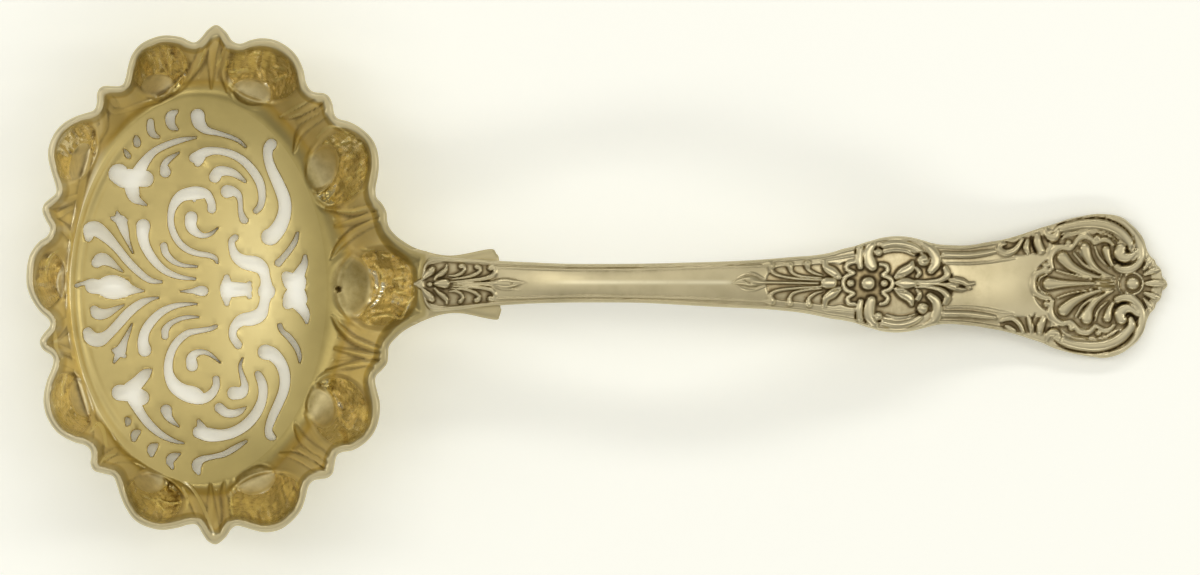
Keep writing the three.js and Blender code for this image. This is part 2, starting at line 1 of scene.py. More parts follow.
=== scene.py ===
"""Sugar sifter spoon of antique silver, lying on a pale table and seen from straight above.

The gilt bowl is a raised, scalloped and pierced sheet, and the handle is a struck bar with scrolls,
leaves, reeds and shells. Tables of places are in pixels of the photograph, whose frame is 1200 x 575.
"""

import logging
import math
from collections.abc import Iterator, Sequence
from dataclasses import dataclass, field
from enum import Enum

import bpy
import numpy as np
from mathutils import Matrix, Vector
from mathutils.geometry import delaunay_2d_cdt


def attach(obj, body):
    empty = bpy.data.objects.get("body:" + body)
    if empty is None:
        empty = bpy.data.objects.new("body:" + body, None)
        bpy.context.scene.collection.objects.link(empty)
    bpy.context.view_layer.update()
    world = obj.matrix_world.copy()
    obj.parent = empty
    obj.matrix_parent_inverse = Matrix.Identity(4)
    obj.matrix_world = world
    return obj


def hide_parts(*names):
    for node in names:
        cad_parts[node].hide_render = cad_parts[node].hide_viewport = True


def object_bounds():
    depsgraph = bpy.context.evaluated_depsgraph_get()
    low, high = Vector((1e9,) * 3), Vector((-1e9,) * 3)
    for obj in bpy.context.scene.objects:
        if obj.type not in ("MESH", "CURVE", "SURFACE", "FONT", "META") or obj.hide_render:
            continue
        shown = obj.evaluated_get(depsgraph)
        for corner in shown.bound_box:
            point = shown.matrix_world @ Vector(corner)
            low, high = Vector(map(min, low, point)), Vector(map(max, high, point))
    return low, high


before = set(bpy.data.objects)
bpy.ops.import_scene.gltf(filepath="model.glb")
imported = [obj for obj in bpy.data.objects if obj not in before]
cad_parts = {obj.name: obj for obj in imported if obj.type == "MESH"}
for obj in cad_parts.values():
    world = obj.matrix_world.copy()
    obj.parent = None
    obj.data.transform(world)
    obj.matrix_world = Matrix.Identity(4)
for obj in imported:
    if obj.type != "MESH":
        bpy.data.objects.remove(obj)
CAD_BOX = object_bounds()

log = logging.getLogger("sifter")

MM = 0.001
PHOTO_WIDTH_PIXELS = 1200
SPOON_LEFT_PIXEL = 33.0
SPOON_RIGHT_PIXEL = 1166.5
AXIS_PIXEL = 284.6
SHARP_DEGREES = 62
LEAST_HALF_PIXELS = 0.3

# A distance beyond any place, and least values to divide by
FAR = 1e9
TINY = 1e-9
SMALL = 1e-6

Pair = tuple[float, float]
Colour = tuple[float, float, float, float]
Stroke = Sequence[tuple[float, float, float]]
Values = np.ndarray | float
Faces = list[tuple[int, ...]]
Touched = tuple[tuple[slice, slice], np.ndarray, np.ndarray, np.ndarray]

# Piercings of the floor, upper half and axis, as strokes of x, y and half width
PIERCINGS_UPPER_PIXELS: tuple[Stroke, ...] = (
    ((125, 150, 1), (127, 153.5, 2.4), (129, 156.3, 2.4)),
    ((136.5, 136.5, 1.2), (137.2, 141, 3.4), (137.6, 144, 3.4)),
    ((151, 122, 3.2), (151, 129, 3.9), (153.5, 134.5, 3.2), (159, 137.2, 1.3)),
    ((177, 111.5, 1.6), (171.5, 115.5, 4.4), (170.5, 121, 4.8), (172.5, 126.5, 3.6), (177.5, 129.3, 1.2)),
    (
        (198, 116, 7), (199.5, 123, 6.2), (206, 130, 3.9), (217, 133, 2.5), (229, 136.5, 2),
        (239, 141, 1.7), (246, 147, 1),
    ),
    ((119, 174, 10), (124, 180, 8)), ((128, 177, 8), (138, 178, 8.5), (146, 179, 8)),
    ((131, 182, 7), (133, 192, 6.8), (136, 199, 4.5), (146.5, 205, 1)),
    (
        (139, 172, 6.5), (145, 162, 5), (154, 152, 3.6), (166, 145.5, 3.2), (181, 140.3, 2.6),
        (196, 137.6, 1),
    ),
    ((165.5, 172, 5.5), (164.5, 165.5, 3.3), (169, 159.5, 2.8), (179, 152.8, 0.9)),
    ((198, 163.5, 3.2), (199, 158, 6.5)),
    (
        (194, 158, 4.6), (205, 152.5, 4.8), (216, 150.8, 3.7), (230, 153.5, 3.7), (243, 160.5, 3.9),
        (253.5, 171.5, 4.2), (260.5, 184, 4.1), (262.3, 197, 3.6), (260.5, 206, 3.2), (256.2, 211, 2.8),
    ),
    ((215, 177, 5.8), (219, 171.8, 5.4), (227, 171.2, 4.4), (236, 174.3, 3.3), (245.5, 181.8, 1.3)),
    (
        (227.5, 191.5, 6.6), (233, 191.5, 4.6), (238.5, 195, 3.4), (240.5, 202, 2.4), (241, 212, 2.6),
        (243.8, 219.5, 3.6), (246, 220.5, 2.6),
    ),
    (
        (271.5, 144.5, 5.6), (268.5, 149, 5), (268.3, 158, 4.5), (272, 170, 5), (278.5, 184, 5.8),
        (284.5, 200, 6.3), (284.5, 214, 6.6), (279.5, 227, 7.5), (272, 236, 8.2), (269.5, 236.8, 8.2),
    ),
    ((278.5, 263, 3.6), (283.5, 257.5, 3), (290.5, 249, 2.7), (295.5, 241, 2.5), (297.8, 233, 1.3)),
    (
        (89, 238, 3.8), (90.5, 230, 6.8), (96.5, 229, 7.4), (106, 236, 6), (117, 247.5, 4.2),
        (128, 261, 3.9), (139, 272, 3.6), (150, 280, 2.9), (161.5, 282, 1.4),
    ),
    ((97, 262.5, 5.2), (102, 259, 6.3), (109, 261.3, 4.6), (116, 266.3, 2.6), (123, 271.6, 0.8)),
    ((117.5, 212, 1), (119, 219, 4.2)), ((112.3, 218, 1.6), (119, 220, 3.6), (126.6, 220.3, 1.6)),
    ((121.5, 221, 5.6), (124.8, 231, 4.2), (128.5, 242, 1.9), (133.3, 253, 0.7)),
    (
        (143.5, 226, 7), (143, 236, 5.7), (146, 247, 4.8), (154, 260, 4.2), (165, 270.5, 3.4),
        (179, 276.6, 2.5), (195, 279, 1.2),
    ),
    ((164, 246, 3.6), (166, 253, 3.4), (172, 260, 2.8), (182, 265, 2), (197, 266.5, 1)),
    (
        (212, 209, 4.4), (211.5, 203, 4), (207, 194.5, 4.4), (199, 193, 6.3), (191, 193.5, 6.4),
        (181, 196.5, 5.6), (174, 205, 4.4), (171, 216, 3.3), (172, 228, 3.3), (177.5, 240, 3.3),
        (186, 248.5, 3.2), (197, 253.3, 2.8), (208, 255, 2.6), (215, 258, 2.3), (217.5, 262.5, 1.4),
    ),
    ((194.5, 200.5, 1.6), (194, 195, 3)),
    (
        (191.5, 217.5, 6.2), (191, 225, 5.6), (195, 231.5, 4.3), (203, 235.6, 2.6), (211, 233.8, 1.9),
        (218, 228, 0.7),
    ),
    ((77, 285.7, 2), (83, 283.5, 1.8), (92, 283, 4.5)),
    ((93, 286, 7.5), (101, 287, 7.5), (112, 287, 12), (121, 288, 10), (132, 289.8, 4.6), (144, 291, 0.8)),
    ((181, 291.3, 0.6), (193, 291, 2.5), (200, 290.8, 4.8), (203.5, 291, 5)),
    ((227, 277.5, 3), (226.5, 290, 6.4), (227, 303.5, 2.5)),
    ((229, 289.5, 8), (238, 289.3, 7.2), (246, 289.3, 6.4)),
    ((249.5, 283.5, 2.4), (247, 289, 4.5), (249.8, 296.5, 2.4)),
    (
        (235.5, 237.5, 3.3), (232, 241, 3.2), (232.5, 248, 3.6), (236.5, 256.5, 5.2), (245, 262, 7),
        (255, 264, 7.8), (262, 268.5, 6.6), (265.5, 278, 5), (266.5, 290, 6.6), (264.5, 303, 5),
        (261, 313.5, 6.6), (252, 318.5, 7), (242, 320, 6), (234.5, 327, 4.4), (233, 336, 3.8),
        (238.5, 345, 3.9),
    ),
    ((268, 291.5, 7.6), (266, 291.5, 8)),
    ((305.3, 256.5, 1.9), (304.5, 264, 3.6), (300, 273, 5.4), (296, 282, 8)),
    ((286.5, 276, 4.8), (292, 282, 8.5), (297, 288, 7.5), (292, 298, 8.5), (288, 304, 5.2)),
    ((298, 282, 8.6), (298.5, 286.5, 7)), ((298.5, 293, 7), (299, 299, 8.6)),
    ((296, 300, 8), (301, 307, 6), (305.5, 314, 4.4), (307, 322, 1.8)),
)

# Piercings of the lower half, which the hand-cut pattern nearly mirrors
PIERCINGS_LOWER_PIXELS: tuple[Stroke, ...] = (
    ((127, 418, 1.2), (128.5, 421, 3.2), (127.5, 424.5, 1.6)),
    ((139.5, 431.5, 1.8), (135.5, 434, 3.9), (134.3, 439, 2.4)),
    ((157.5, 444.5, 1.4), (152.5, 448.5, 4.6), (152, 454.5, 2.2)),
    ((180, 453.6, 1), (173, 457, 4), (170.3, 461, 3.8), (172.8, 467.5, 1.6)),
    (
        (198.8, 472.5, 2.2), (197, 465, 4.9), (202, 459.5, 3.4), (212, 456.8, 2.4), (224, 454, 2.7),
        (236, 447.5, 2.7), (246.5, 441, 1.2),
    ),
    ((151.5, 369.5, 1), (145.5, 374.5, 5.2), (138.5, 382, 6.4), (131, 389.5, 8)),
    ((120, 392.5, 8), (133, 393.5, 8)), ((134, 394, 8), (142, 397.5, 7.6)),
    (
        (134.5, 400, 6.5), (140.5, 412, 4.6), (150, 424.5, 4.2), (162.5, 435, 3.2), (175, 441, 1.9),
        (184, 443, 0.7),
    ),
    ((166.5, 410, 5.6), (168.5, 416, 4), (173, 421.5, 2.4), (179, 426.3, 0.7)),
    ((199, 421, 1.8), (202.5, 430, 5.6)),
    (
        (199, 432, 6), (209, 434.5, 6.8), (222, 435, 5.6), (235, 431.5, 5.2), (247.5, 423.5, 5.2),
        (257, 412, 5), (262.5, 399, 4.5), (263, 386, 4.6), (259.5, 376.5, 3.8), (258, 374, 3.2),
    ),
    ((219.5, 407.5, 4.8), (226, 412.5, 4.4), (234, 413.3, 3.8), (240.5, 411, 3), (245.5, 407.5, 1.1)),
    (
        (234, 393, 6.6), (241.5, 392.5, 5.6), (245, 386, 3.8), (242.5, 376, 2.5), (240.3, 366.5, 1.7),
        (242.8, 358.5, 0.9),
    ),
    (
        (265.5, 352, 7.6), (273, 354.5, 6.8), (281, 363.5, 5.8), (285, 376, 5.4), (284, 390, 5),
        (278.5, 404, 4.6), (272.5, 417, 4.3), (268.8, 429, 3.7), (270.5, 435.5, 4.2), (274, 437.5, 2.4),
    ),
    (
        (280, 325.5, 2.4), (282.5, 331, 2.3), (289.5, 337.5, 2.9), (296.5, 347, 2.6), (299.8, 356, 2),
        (300, 362, 0.9),
    ),
    (
        (88.5, 332.5, 5.2), (92, 338, 6.8), (100, 339.7, 6.8), (109, 334, 4.9), (119, 323.5, 4.7),
        (129, 312.5, 4.6), (141, 303.2, 3.8), (152, 298.8, 1.9), (158.5, 297.7, 0.9),
    ),
    ((94.5, 309.5, 4), (98, 313.5, 5.9), (106, 313.5, 4.7), (115, 309.5, 2.8), (124, 305, 0.9)),
    ((114.5, 362, 1.3), (118, 355, 3)), ((113.5, 350.3, 1.4), (119, 351.5, 4.5), (125, 356, 1.9)),
    ((121.5, 350, 5.2), (125, 341, 3), (129, 332, 1.8), (132.4, 324, 0.7)),
    (
        (145, 350, 6.6), (143.3, 341.5, 5.4), (145.5, 331, 4.7), (152.5, 320.5, 4.4), (162.5, 311.5, 3.7),
        (175, 306, 2.8), (189, 304, 1.6), (197, 304, 0.8),
    ),
    (
        (165.3, 336, 3.4), (165.5, 330, 3.6), (170.5, 323.7, 2.6), (179, 319.3, 2.2), (189, 317, 1.9),
        (198.5, 317, 0.9),
    ),
    (
        (216.3, 379, 3.4), (216.3, 386, 3.6), (211.5, 394, 4.4), (203, 398.5, 5.2), (193.5, 395, 8.6),
        (183.5, 391.8, 7.8), (174.5, 385, 6.6), (169, 373.5, 4.8), (169, 361, 4.2), (172.5, 349.5, 3.9),
        (179, 340, 3.7), (188.5, 333, 3.3), (200, 330.6, 2.6), (210, 328.8, 2.3), (216, 326.3, 1.9),
    ),
    (
        (192.3, 365.5, 5.8), (191.5, 359, 5), (195, 354, 3.8), (202, 351.8, 2.6), (210, 354.3, 1.9),
        (220.5, 362.5, 0.7),
    ),
)

# Rim of the bowl and sides of its neck, from under the handle's end round to there again
RIM_PIXELS: tuple[Pair, ...] = (
    (431, 284.6), (431, 266), (430, 253), (425, 251), (415.4, 247.6), (406, 242), (399, 236.8),
    (392.5, 229.5), (389.6, 222), (388.8, 213), (384.4, 204.4), (379, 198.5), (378, 190), (380, 179),
    (381.3, 167), (380, 153), (375, 141), (365, 131), (353, 124), (341, 120.4), (337, 114.8),
    (335.6, 106.6), (332.5, 99.4), (327, 95.4), (319, 94.6), (313.5, 92), (309, 84), (306.6, 72),
    (300.5, 59), (291, 49.4), (279, 43), (266, 41), (254.6, 42.8), (244.5, 46.4), (236.5, 43.6),
    (230, 34.5), (220.8, 27.8), (212, 32.6), (206, 40), (199.5, 45), (193, 43.4), (186, 40), (174, 38.2),
    (163.7, 39), (151.6, 43.4), (143, 49.4), (136.8, 58), (133.4, 68.5), (130.8, 80.6), (127.5, 87.2),
    (120.4, 88.4), (111.7, 88), (105.7, 90), (102.7, 96.2), (102.5, 105), (99.5, 112), (91, 115.2),
    (80.6, 118.7), (70, 124.7), (61.5, 133.4), (55.5, 146.4), (54.3, 158.5), (57.2, 172), (61.5, 186),
    (62, 194), (55.5, 200), (50.3, 205), (48.6, 212), (52, 220.8), (56.2, 229), (53.4, 236.6), (46, 241.6),
    (40, 248.5), (35.6, 257), (33.3, 269), (33, 283), (35, 292), (39, 301), (46, 311), (54.6, 319),
    (56, 325.4), (49.4, 333.7), (46, 341.5), (49.4, 349.2), (57.2, 354.4), (59.6, 360.5), (57, 370),
    (53, 380), (49.8, 396), (51.2, 410), (56.4, 422), (65, 432.3), (79, 440), (91, 443.6), (96, 448.4),
    (97, 454.8), (96.2, 461.8), (99.8, 468.6), (108.3, 471.3), (118.2, 474.2), (122, 481.7), (125.6, 493),
    (130.8, 505), (139.4, 517), (151.6, 524), (167, 527.2), (182.7, 525), (193, 522), (201.4, 522.4),
    (207, 531), (212.5, 538.4), (220.8, 541.4), (229.8, 534.5), (235.2, 526.6), (240.5, 523.2),
    (247.7, 524.4), (258, 527.5), (270, 529.6), (284, 526.7), (296, 518), (304.8, 506.8), (309, 494.6),
    (311.9, 484), (317, 478.4), (324, 477), (330.8, 475.6), (335.8, 471), (337.7, 462), (339.6, 454.2),
    (344.6, 450.5), (356.7, 448), (369, 440), (377.5, 429), (381.8, 415), (382.2, 401), (379.3, 389),
    (377.6, 380.4), (379, 374.4), (384.4, 369), (389.4, 362.6), (390.5, 354.4), (391, 347), (395, 340.6),
    (404, 332), (412.7, 326.5), (421.7, 322), (430, 316.5), (431, 303),
)

# Tang under the handle, with its two flared ears
TANG_PIXELS: tuple[Pair, ...] = (
    (424, 250.8), (438, 254.3), (449.5, 255.8), (460, 255.2), (472, 253), (482.7, 250.7), (491.7, 249.4),
    (495.3, 250.3), (497.5, 253.8), (500.2, 259.5), (500.8, 284), (501.5, 306), (502.4, 309.5),
    (500.6, 316), (498, 319.4), (485.4, 317.6), (475.5, 315.3), (464.7, 313.3), (454, 312.9), (443, 314.4),
    (432.4, 317.6), (424, 321),
)

# Small dark pit in the neck's boss
PIT_PIXELS: Stroke = ((338.8, 288.4, 2.4), (339.3, 289.8, 2.4))

# Smooth bosses at the foot of the lobes: centre, half sizes and turn in degrees
BOSS_PIXELS: tuple[tuple[float, float, float, float, float], ...] = (
    (351, 286, 21, 29, 0), (322, 169, 15, 23, 24), (253, 93, 18, 12.5, 8), (160, 88, 14.5, 12, -20),
    (83, 163, 8.5, 18, 14), (64, 283, 5.5, 14, 0), (83, 397, 9.5, 18, -14), (152, 479, 14, 11.5, 20),
    (256, 479, 19, 14, -10), (321, 406, 14, 21, -24),
)

# Sunk and chased shells of the lobes, which the bosses lie in: centre, half sizes and turn in degrees
SHELL_PIXELS: tuple[tuple[float, float, float, float, float], ...] = (
    (380, 288, 40, 41, 0), (341, 169, 32, 41, 24), (265, 76, 42, 26, 14), (163, 70, 32, 25, -22),
    (79, 151, 18, 34, 20), (53, 281, 13, 31, 4), (74, 403, 18, 35, -16), (155, 498, 32, 24, 22),
    (269, 498, 42, 26, -14), (342, 411, 32, 38, -26),
)

# Folded ribs that run in from the tips, and the bead along the floor's edge
RIB_PIXELS: tuple[Stroke, ...] = (
    ((327, 99, 3), (318, 106, 4), (305, 112, 3.8), (292, 116, 3), (281, 117.5, 1.2)),
    ((331, 105, 2.4), (321, 113, 3), (309, 118, 3), (299, 123, 2)),
    ((334, 112, 3), (323, 118, 4), (310, 125, 4.4), (300, 135, 3.8), (294, 153, 1.4)),
    ((220, 32, 3), (219, 44, 4), (215, 58, 4), (213, 74, 3), (212, 88, 1.2)),
    (
        (214, 40, 3), (207, 54, 4), (198, 68, 4.2), (183, 82, 3.8), (163, 98, 3), (141, 106, 2.4),
        (118, 114, 1.4),
    ),
    ((226, 40, 3), (230, 51, 3.6), (229, 62, 3.4), (225, 76, 2.6), (228, 92, 1.2)),
    ((108, 93, 3.4), (114, 99, 3.4), (119, 106, 2.6)),
    ((104, 101, 3), (107, 112, 4), (107, 126, 3.6), (99, 143, 1.6)),
    ((112, 104, 2.4), (116, 112, 2.6), (126, 111, 1.6)),
    ((53, 207, 3), (62, 205, 3.4), (71, 201, 3), (84, 194, 1.6)),
    ((54, 213, 2.6), (62, 216, 3), (68, 212, 2), (74, 209, 1)),
    ((57, 220, 2.6), (64, 225, 3.2), (71, 236, 2.8), (77, 250, 1.2)),
    ((51, 341, 3), (60, 334, 3.4), (67, 323, 2.8), (74, 311, 1.2)),
    ((53, 347, 2.6), (62, 347, 3), (70, 350, 2), (77, 353, 1)),
    ((58, 354, 2.6), (67, 359, 3.4), (76, 366, 3), (86, 374, 1.2)),
    ((101, 464, 3.4), (109, 457, 3.4), (117, 450, 2.6)),
    ((98, 456, 3), (102, 444, 4), (101, 432, 3.6), (94, 416, 1.6)),
    ((110, 464, 2.4), (120, 458, 3), (134, 460, 2), (150, 462, 1.2)),
    ((220, 537, 3), (219, 525, 4), (215, 511, 4), (212, 496, 3), (211, 480, 1.2)),
    (
        (214, 531, 3), (206, 517, 4), (197, 502, 4.2), (184, 489, 3.8), (165, 474, 3), (146, 465, 2.4),
        (122, 456, 1.4),
    ),
    ((227, 530, 3), (230, 518, 3.6), (229, 506, 3.4), (224, 492, 2.6), (226, 478, 1.2)),
    ((328, 474, 3), (319, 466, 4), (306, 459, 3.8), (293, 455, 3), (281, 453, 1.2)),
    ((332, 468, 2.4), (322, 459, 3), (310, 453, 3), (300, 448, 2)),
    ((335, 461, 3), (324, 453, 4), (311, 446, 4.4), (301, 436, 3.8), (294, 420, 1.4)),
    ((384, 208, 3), (368, 210, 3.8), (353, 212.5, 3.6), (327, 209, 1.4)),
    ((386, 214, 2.6), (371, 217, 3.2), (354, 222, 3.2), (336, 226, 1.6)),
    ((387, 220, 2.8), (371, 225, 4), (354, 234, 4.2), (340, 246, 3.6), (331, 259, 1.4)),
    ((384, 364, 3), (368, 362, 3.8), (353, 365, 3.6), (327, 371, 1.4)),
    ((386, 357, 2.6), (371, 355, 3.2), (354, 352, 3.2), (336, 348, 1.6)),
    ((387, 351, 2.8), (371, 346, 4), (354, 339, 4.2), (341, 328, 3.6), (332, 315, 1.4)),
    (
        (103, 128, 1.4), (95, 146, 2.6), (86, 176, 3), (79, 209, 3), (72.5, 245, 3), (69.5, 286, 3),
        (71.5, 326, 3), (78, 366, 3), (86, 398, 3), (97, 426, 2.6), (110, 446, 1.4),
    ),
)

# Creases beside the ribs
CREASE_PIXELS: tuple[Stroke, ...] = (
    ((319, 110, 1), (304, 116, 1.6), (290, 121, 0.8)), ((322, 115.5, 1), (310, 121, 1.5), (302, 128, 0.8)),
    ((212, 54, 1), (207, 66, 1.8), (200, 78, 0.8)), ((225, 52, 1), (222, 66, 1.8), (218, 80, 0.8)),
    ((112, 104, 1), (113, 114, 1.6), (108, 130, 0.8)), ((64, 210, 1), (74, 205, 0.8)),
    ((64, 220, 1), (72, 227, 0.8)), ((63, 340, 1), (72, 330, 0.8)), ((65, 353, 1), (76, 359, 0.8)),
    ((107, 452, 1), (108, 440, 0.8)), ((212, 517, 1), (207, 504, 1.8), (200, 494, 0.8)),
    ((225, 519, 1), (222, 504, 1.8), (217, 490, 0.8)), ((320, 463, 1), (305, 456, 1.6), (291, 450, 0.8)),
    ((323, 456, 1), (311, 450, 1.5), (303, 443, 0.8)), ((370, 213.5, 1), (352, 217, 1.6), (334, 218, 0.8)),
    ((371, 221, 1), (352, 229, 1.6), (338, 239, 0.8)), ((370, 358.5, 1), (352, 358, 1.6), (334, 360, 0.8)),
    ((371, 350.5, 1), (352, 345, 1.6), (338, 336, 0.8)),
    ((376, 262, 0.9), (383.5, 276, 1.1), (383, 292, 1.1), (376, 308, 0.9)),
    ((370, 310, 0.8), (379, 300, 1), (388, 284, 1), (384, 264, 0.8)),
    ((395, 262, 0.6), (402, 259, 1), (409, 258, 0.6)), ((397, 268, 0.6), (404, 266, 1), (412, 265, 0.6)),
    ((398, 275, 0.6), (406, 273, 1), (414, 273, 0.6)), ((398, 282, 0.6), (406, 281, 1), (415, 281, 0.6)),
    ((398, 289, 0.6), (406, 289, 1), (415, 290, 0.6)), ((396, 296, 0.6), (404, 297, 1), (412, 299, 0.6)),
    ((393, 303, 0.6), (401, 305, 1), (408, 308, 0.6)), ((389, 310, 0.6), (396, 313, 1), (402, 317, 0.6)),
)

# Fine raised folds and dashes, rubbed and painted bright as glints
FOLD_PIXELS: tuple[Stroke, ...] = (
    ((232, 73.4, 2), (240, 72, 2.4), (248.4, 71, 1.8)),
    ((277.5, 80.5, 2.2), (283, 79, 2.4), (288, 77.3, 1.4)), ((258.3, 55.2, 1.4), (263.3, 55.6, 1.6)),
    ((276.1, 68.4, 1.4), (287, 70.4, 1.2)), ((218.8, 66.5, 1), (224.5, 58, 1.5), (229.7, 49.7, 1)),
    ((201, 68.4, 1), (205.8, 60, 1.5), (209.9, 51.6, 1)),
    ((281.1, 116.9, 1), (295, 110, 1.5), (308.8, 104, 1)), ((291, 117.9, 1.2), (303.8, 114.9, 1.2)),
    ((318.6, 138.6, 1), (328.5, 129.7, 1.3), (340.4, 128.4, 1.3), (350.3, 135.7, 1)),
    ((344.4, 144.6, 1.8), (351.3, 142.2, 1.8)), ((326.6, 143.6, 1.4), (329.5, 144.2, 1.6)),
    ((336.4, 146.6, 1.2), (341.4, 146.6, 1.4)), ((347.3, 158.4, 1.2), (353.3, 157.4, 1.4)),
    ((361.2, 164.4, 1.4), (364.1, 163.4, 1.4)), ((357.2, 173.3, 1.4), (364.1, 170.3, 1.6)),
    ((348.3, 180.2, 1.3), (352.3, 178.2, 1.3)), ((352.3, 195, 1), (359, 193, 1.3), (366.1, 191.6, 1)),
    ((338.4, 211.8, 1), (354.2, 212.8, 1.4), (368, 209.8, 1)),
    ((376, 264.2, 1), (382.9, 275.1, 1.5), (382.9, 287, 1.6), (379, 298.8, 1.4), (370, 306.7, 1)),
    ((363.1, 249.4, 1.3), (368, 250.4, 1.3)), ((370, 250.4, 1), (376, 250.4, 1.2)),
    ((383, 255.4, 1.1), (389.8, 257.3, 1.1)), ((397.7, 268.2, 1.1), (405.6, 267.2, 1.2)),
    ((396, 279, 1.1), (404, 278.4, 1.2)), ((394.8, 290, 1.2), (407.6, 293.9, 1.4)),
    ((397.7, 298.8, 1.2), (403.7, 300.8, 1.3)), ((374, 316.6, 1), (389.8, 314.6, 1.3), (401.7, 318.6, 1)),
    ((415.5, 296.8, 1), (409.6, 304.8, 1.4), (403.7, 318.6, 1)),
    ((61.2, 250.7, 1), (53.8, 257, 1.5), (50.7, 265.4, 1.5), (49.2, 273.7, 1)),
    ((69.5, 374, 1), (66.8, 384.6, 1.5), (66, 395, 1)),
    ((61.2, 330, 1), (60.1, 342.8, 1.7), (67.4, 357.4, 1)),
    ((94.6, 430.6, 1), (98.8, 423.3, 1.8), (104, 428.5, 1.8), (109.3, 445.3, 1)),
    ((105, 462, 1), (110.3, 455.7, 1.3), (116.6, 453.7, 1)),
    ((147, 494.5, 1), (158.4, 500.7, 1.3), (166.8, 509, 1)),
    ((158.4, 497.6, 1), (171, 501.8, 1.3), (182.5, 500.7, 1)),
    ((183.5, 487, 1), (188.8, 497.6, 1.4), (189.8, 508, 1)),
    ((231.7, 491.3, 1), (233.8, 506, 1.4), (235.8, 512, 1)),
    (
        (137.5, 453.7, 1), (158.4, 468.3, 1.8), (175.2, 474.6, 1.8), (189.8, 485, 1.6), (200.3, 497.6, 1.6),
        (210.7, 514.3, 1.4), (218, 531, 1),
    ),
    (
        (71.6, 234, 1), (72.2, 262, 1.4), (72.7, 296.8, 1.5), (76.9, 347, 1.5), (84, 374, 1.5),
        (104, 413.9, 1.4), (116.6, 439, 1),
    ),
)

# Handle outline: x with its upper and its lower edge
HANDLE_PIXELS: tuple[tuple[float, float, float], ...] = (
    (416.3, 282, 286), (420, 279.5, 288.5), (424, 277, 291), (425, 268, 298), (427, 262.8, 304),
    (430.6, 258.8, 309), (436, 257.4, 311.3), (450, 257.9, 310.3), (465, 258.8, 308.8), (483, 259.7, 306.8),
    (502, 261.2, 305.2), (530, 262.5, 303.5), (565, 264, 302.5), (600, 264.2, 302.3), (640, 264, 302.7),
    (685, 262.9, 305), (725, 261.7, 307.2), (760, 259.8, 308.7), (791, 257.2, 311.5), (810, 255.8, 314.4),
    (828, 252.9, 318.3), (840, 249.3, 320), (852, 246.5, 322.5), (862, 243, 326), (871, 240.4, 328.6),
    (881, 237.8, 331.2), (894, 236.5, 332.2), (907, 237.3, 331.2), (919, 240, 328.6), (930, 243.3, 325.8),
    (940, 244.8, 324), (952, 245.4, 324), (963, 245.5, 325), (974, 244.5, 326), (984, 242.5, 327.8),
    (1000, 240, 330.5), (1015, 236.1, 334.3), (1030, 231.2, 339), (1041, 227.5, 342.6), (1053, 224, 348),
    (1068, 219, 352.4), (1082, 216, 355.4), (1094, 214.1, 357.2), (1104, 214.1, 357.9),
    (1115, 215.4, 355.6), (1123, 218.4, 352), (1130, 223.9, 347), (1137, 230.6, 341), (1143, 239, 331.7),
    (1146, 249, 321), (1149.4, 255.5, 313.6), (1152, 258, 311), (1154.9, 261, 307), (1155.7, 264.7, 303),
    (1158.6, 266.8, 300.6), (1160.4, 269.6, 297.6), (1161.6, 276, 291), (1164, 279, 289.4),
    (1165.6, 281, 287.6), (1166.5, 283.5, 286),
)

# Grounds of the handle that are cut back behind the ornament
GROUND_PIXELS: tuple[Stroke, ...] = (
    ((435, 271, 7.4), (446, 270, 8), (470, 270.6, 7.4), (489, 271, 6.6)),
    ((435, 297, 7.4), (446, 298.4, 8), (470, 297.4, 7.4), (489, 296.4, 6.4)),
    ((437, 284, 12), (482, 284, 11)), ((1002, 248, 6.5), (1020, 246.6, 9.5), (1040, 243.6, 8.5)),
    ((1004, 323, 6.5), (1022, 324.6, 9), (1042, 325, 8.5)),
    ((780, 283.5, 17.5), (806, 284, 19.5), (830, 284.5, 22)), ((850, 284, 24), (852, 284, 24)),
    ((884, 284, 33), (898, 284.5, 34), (914, 284.5, 31), (926, 284.5, 27)),
    ((1078, 285.5, 40), (1100, 286, 46), (1106, 286, 46)), ((1060, 285.5, 30), (1120, 285, 20)),
    ((1059, 243.5, 3.4), (1070, 240, 4.6), (1085, 237.8, 5), (1100, 238.8, 5.6), (1111, 243, 5)),
    ((1060, 326, 3.4), (1070, 330.6, 4.6), (1085, 333, 5), (1100, 332, 5.6), (1111, 327, 5)),
)

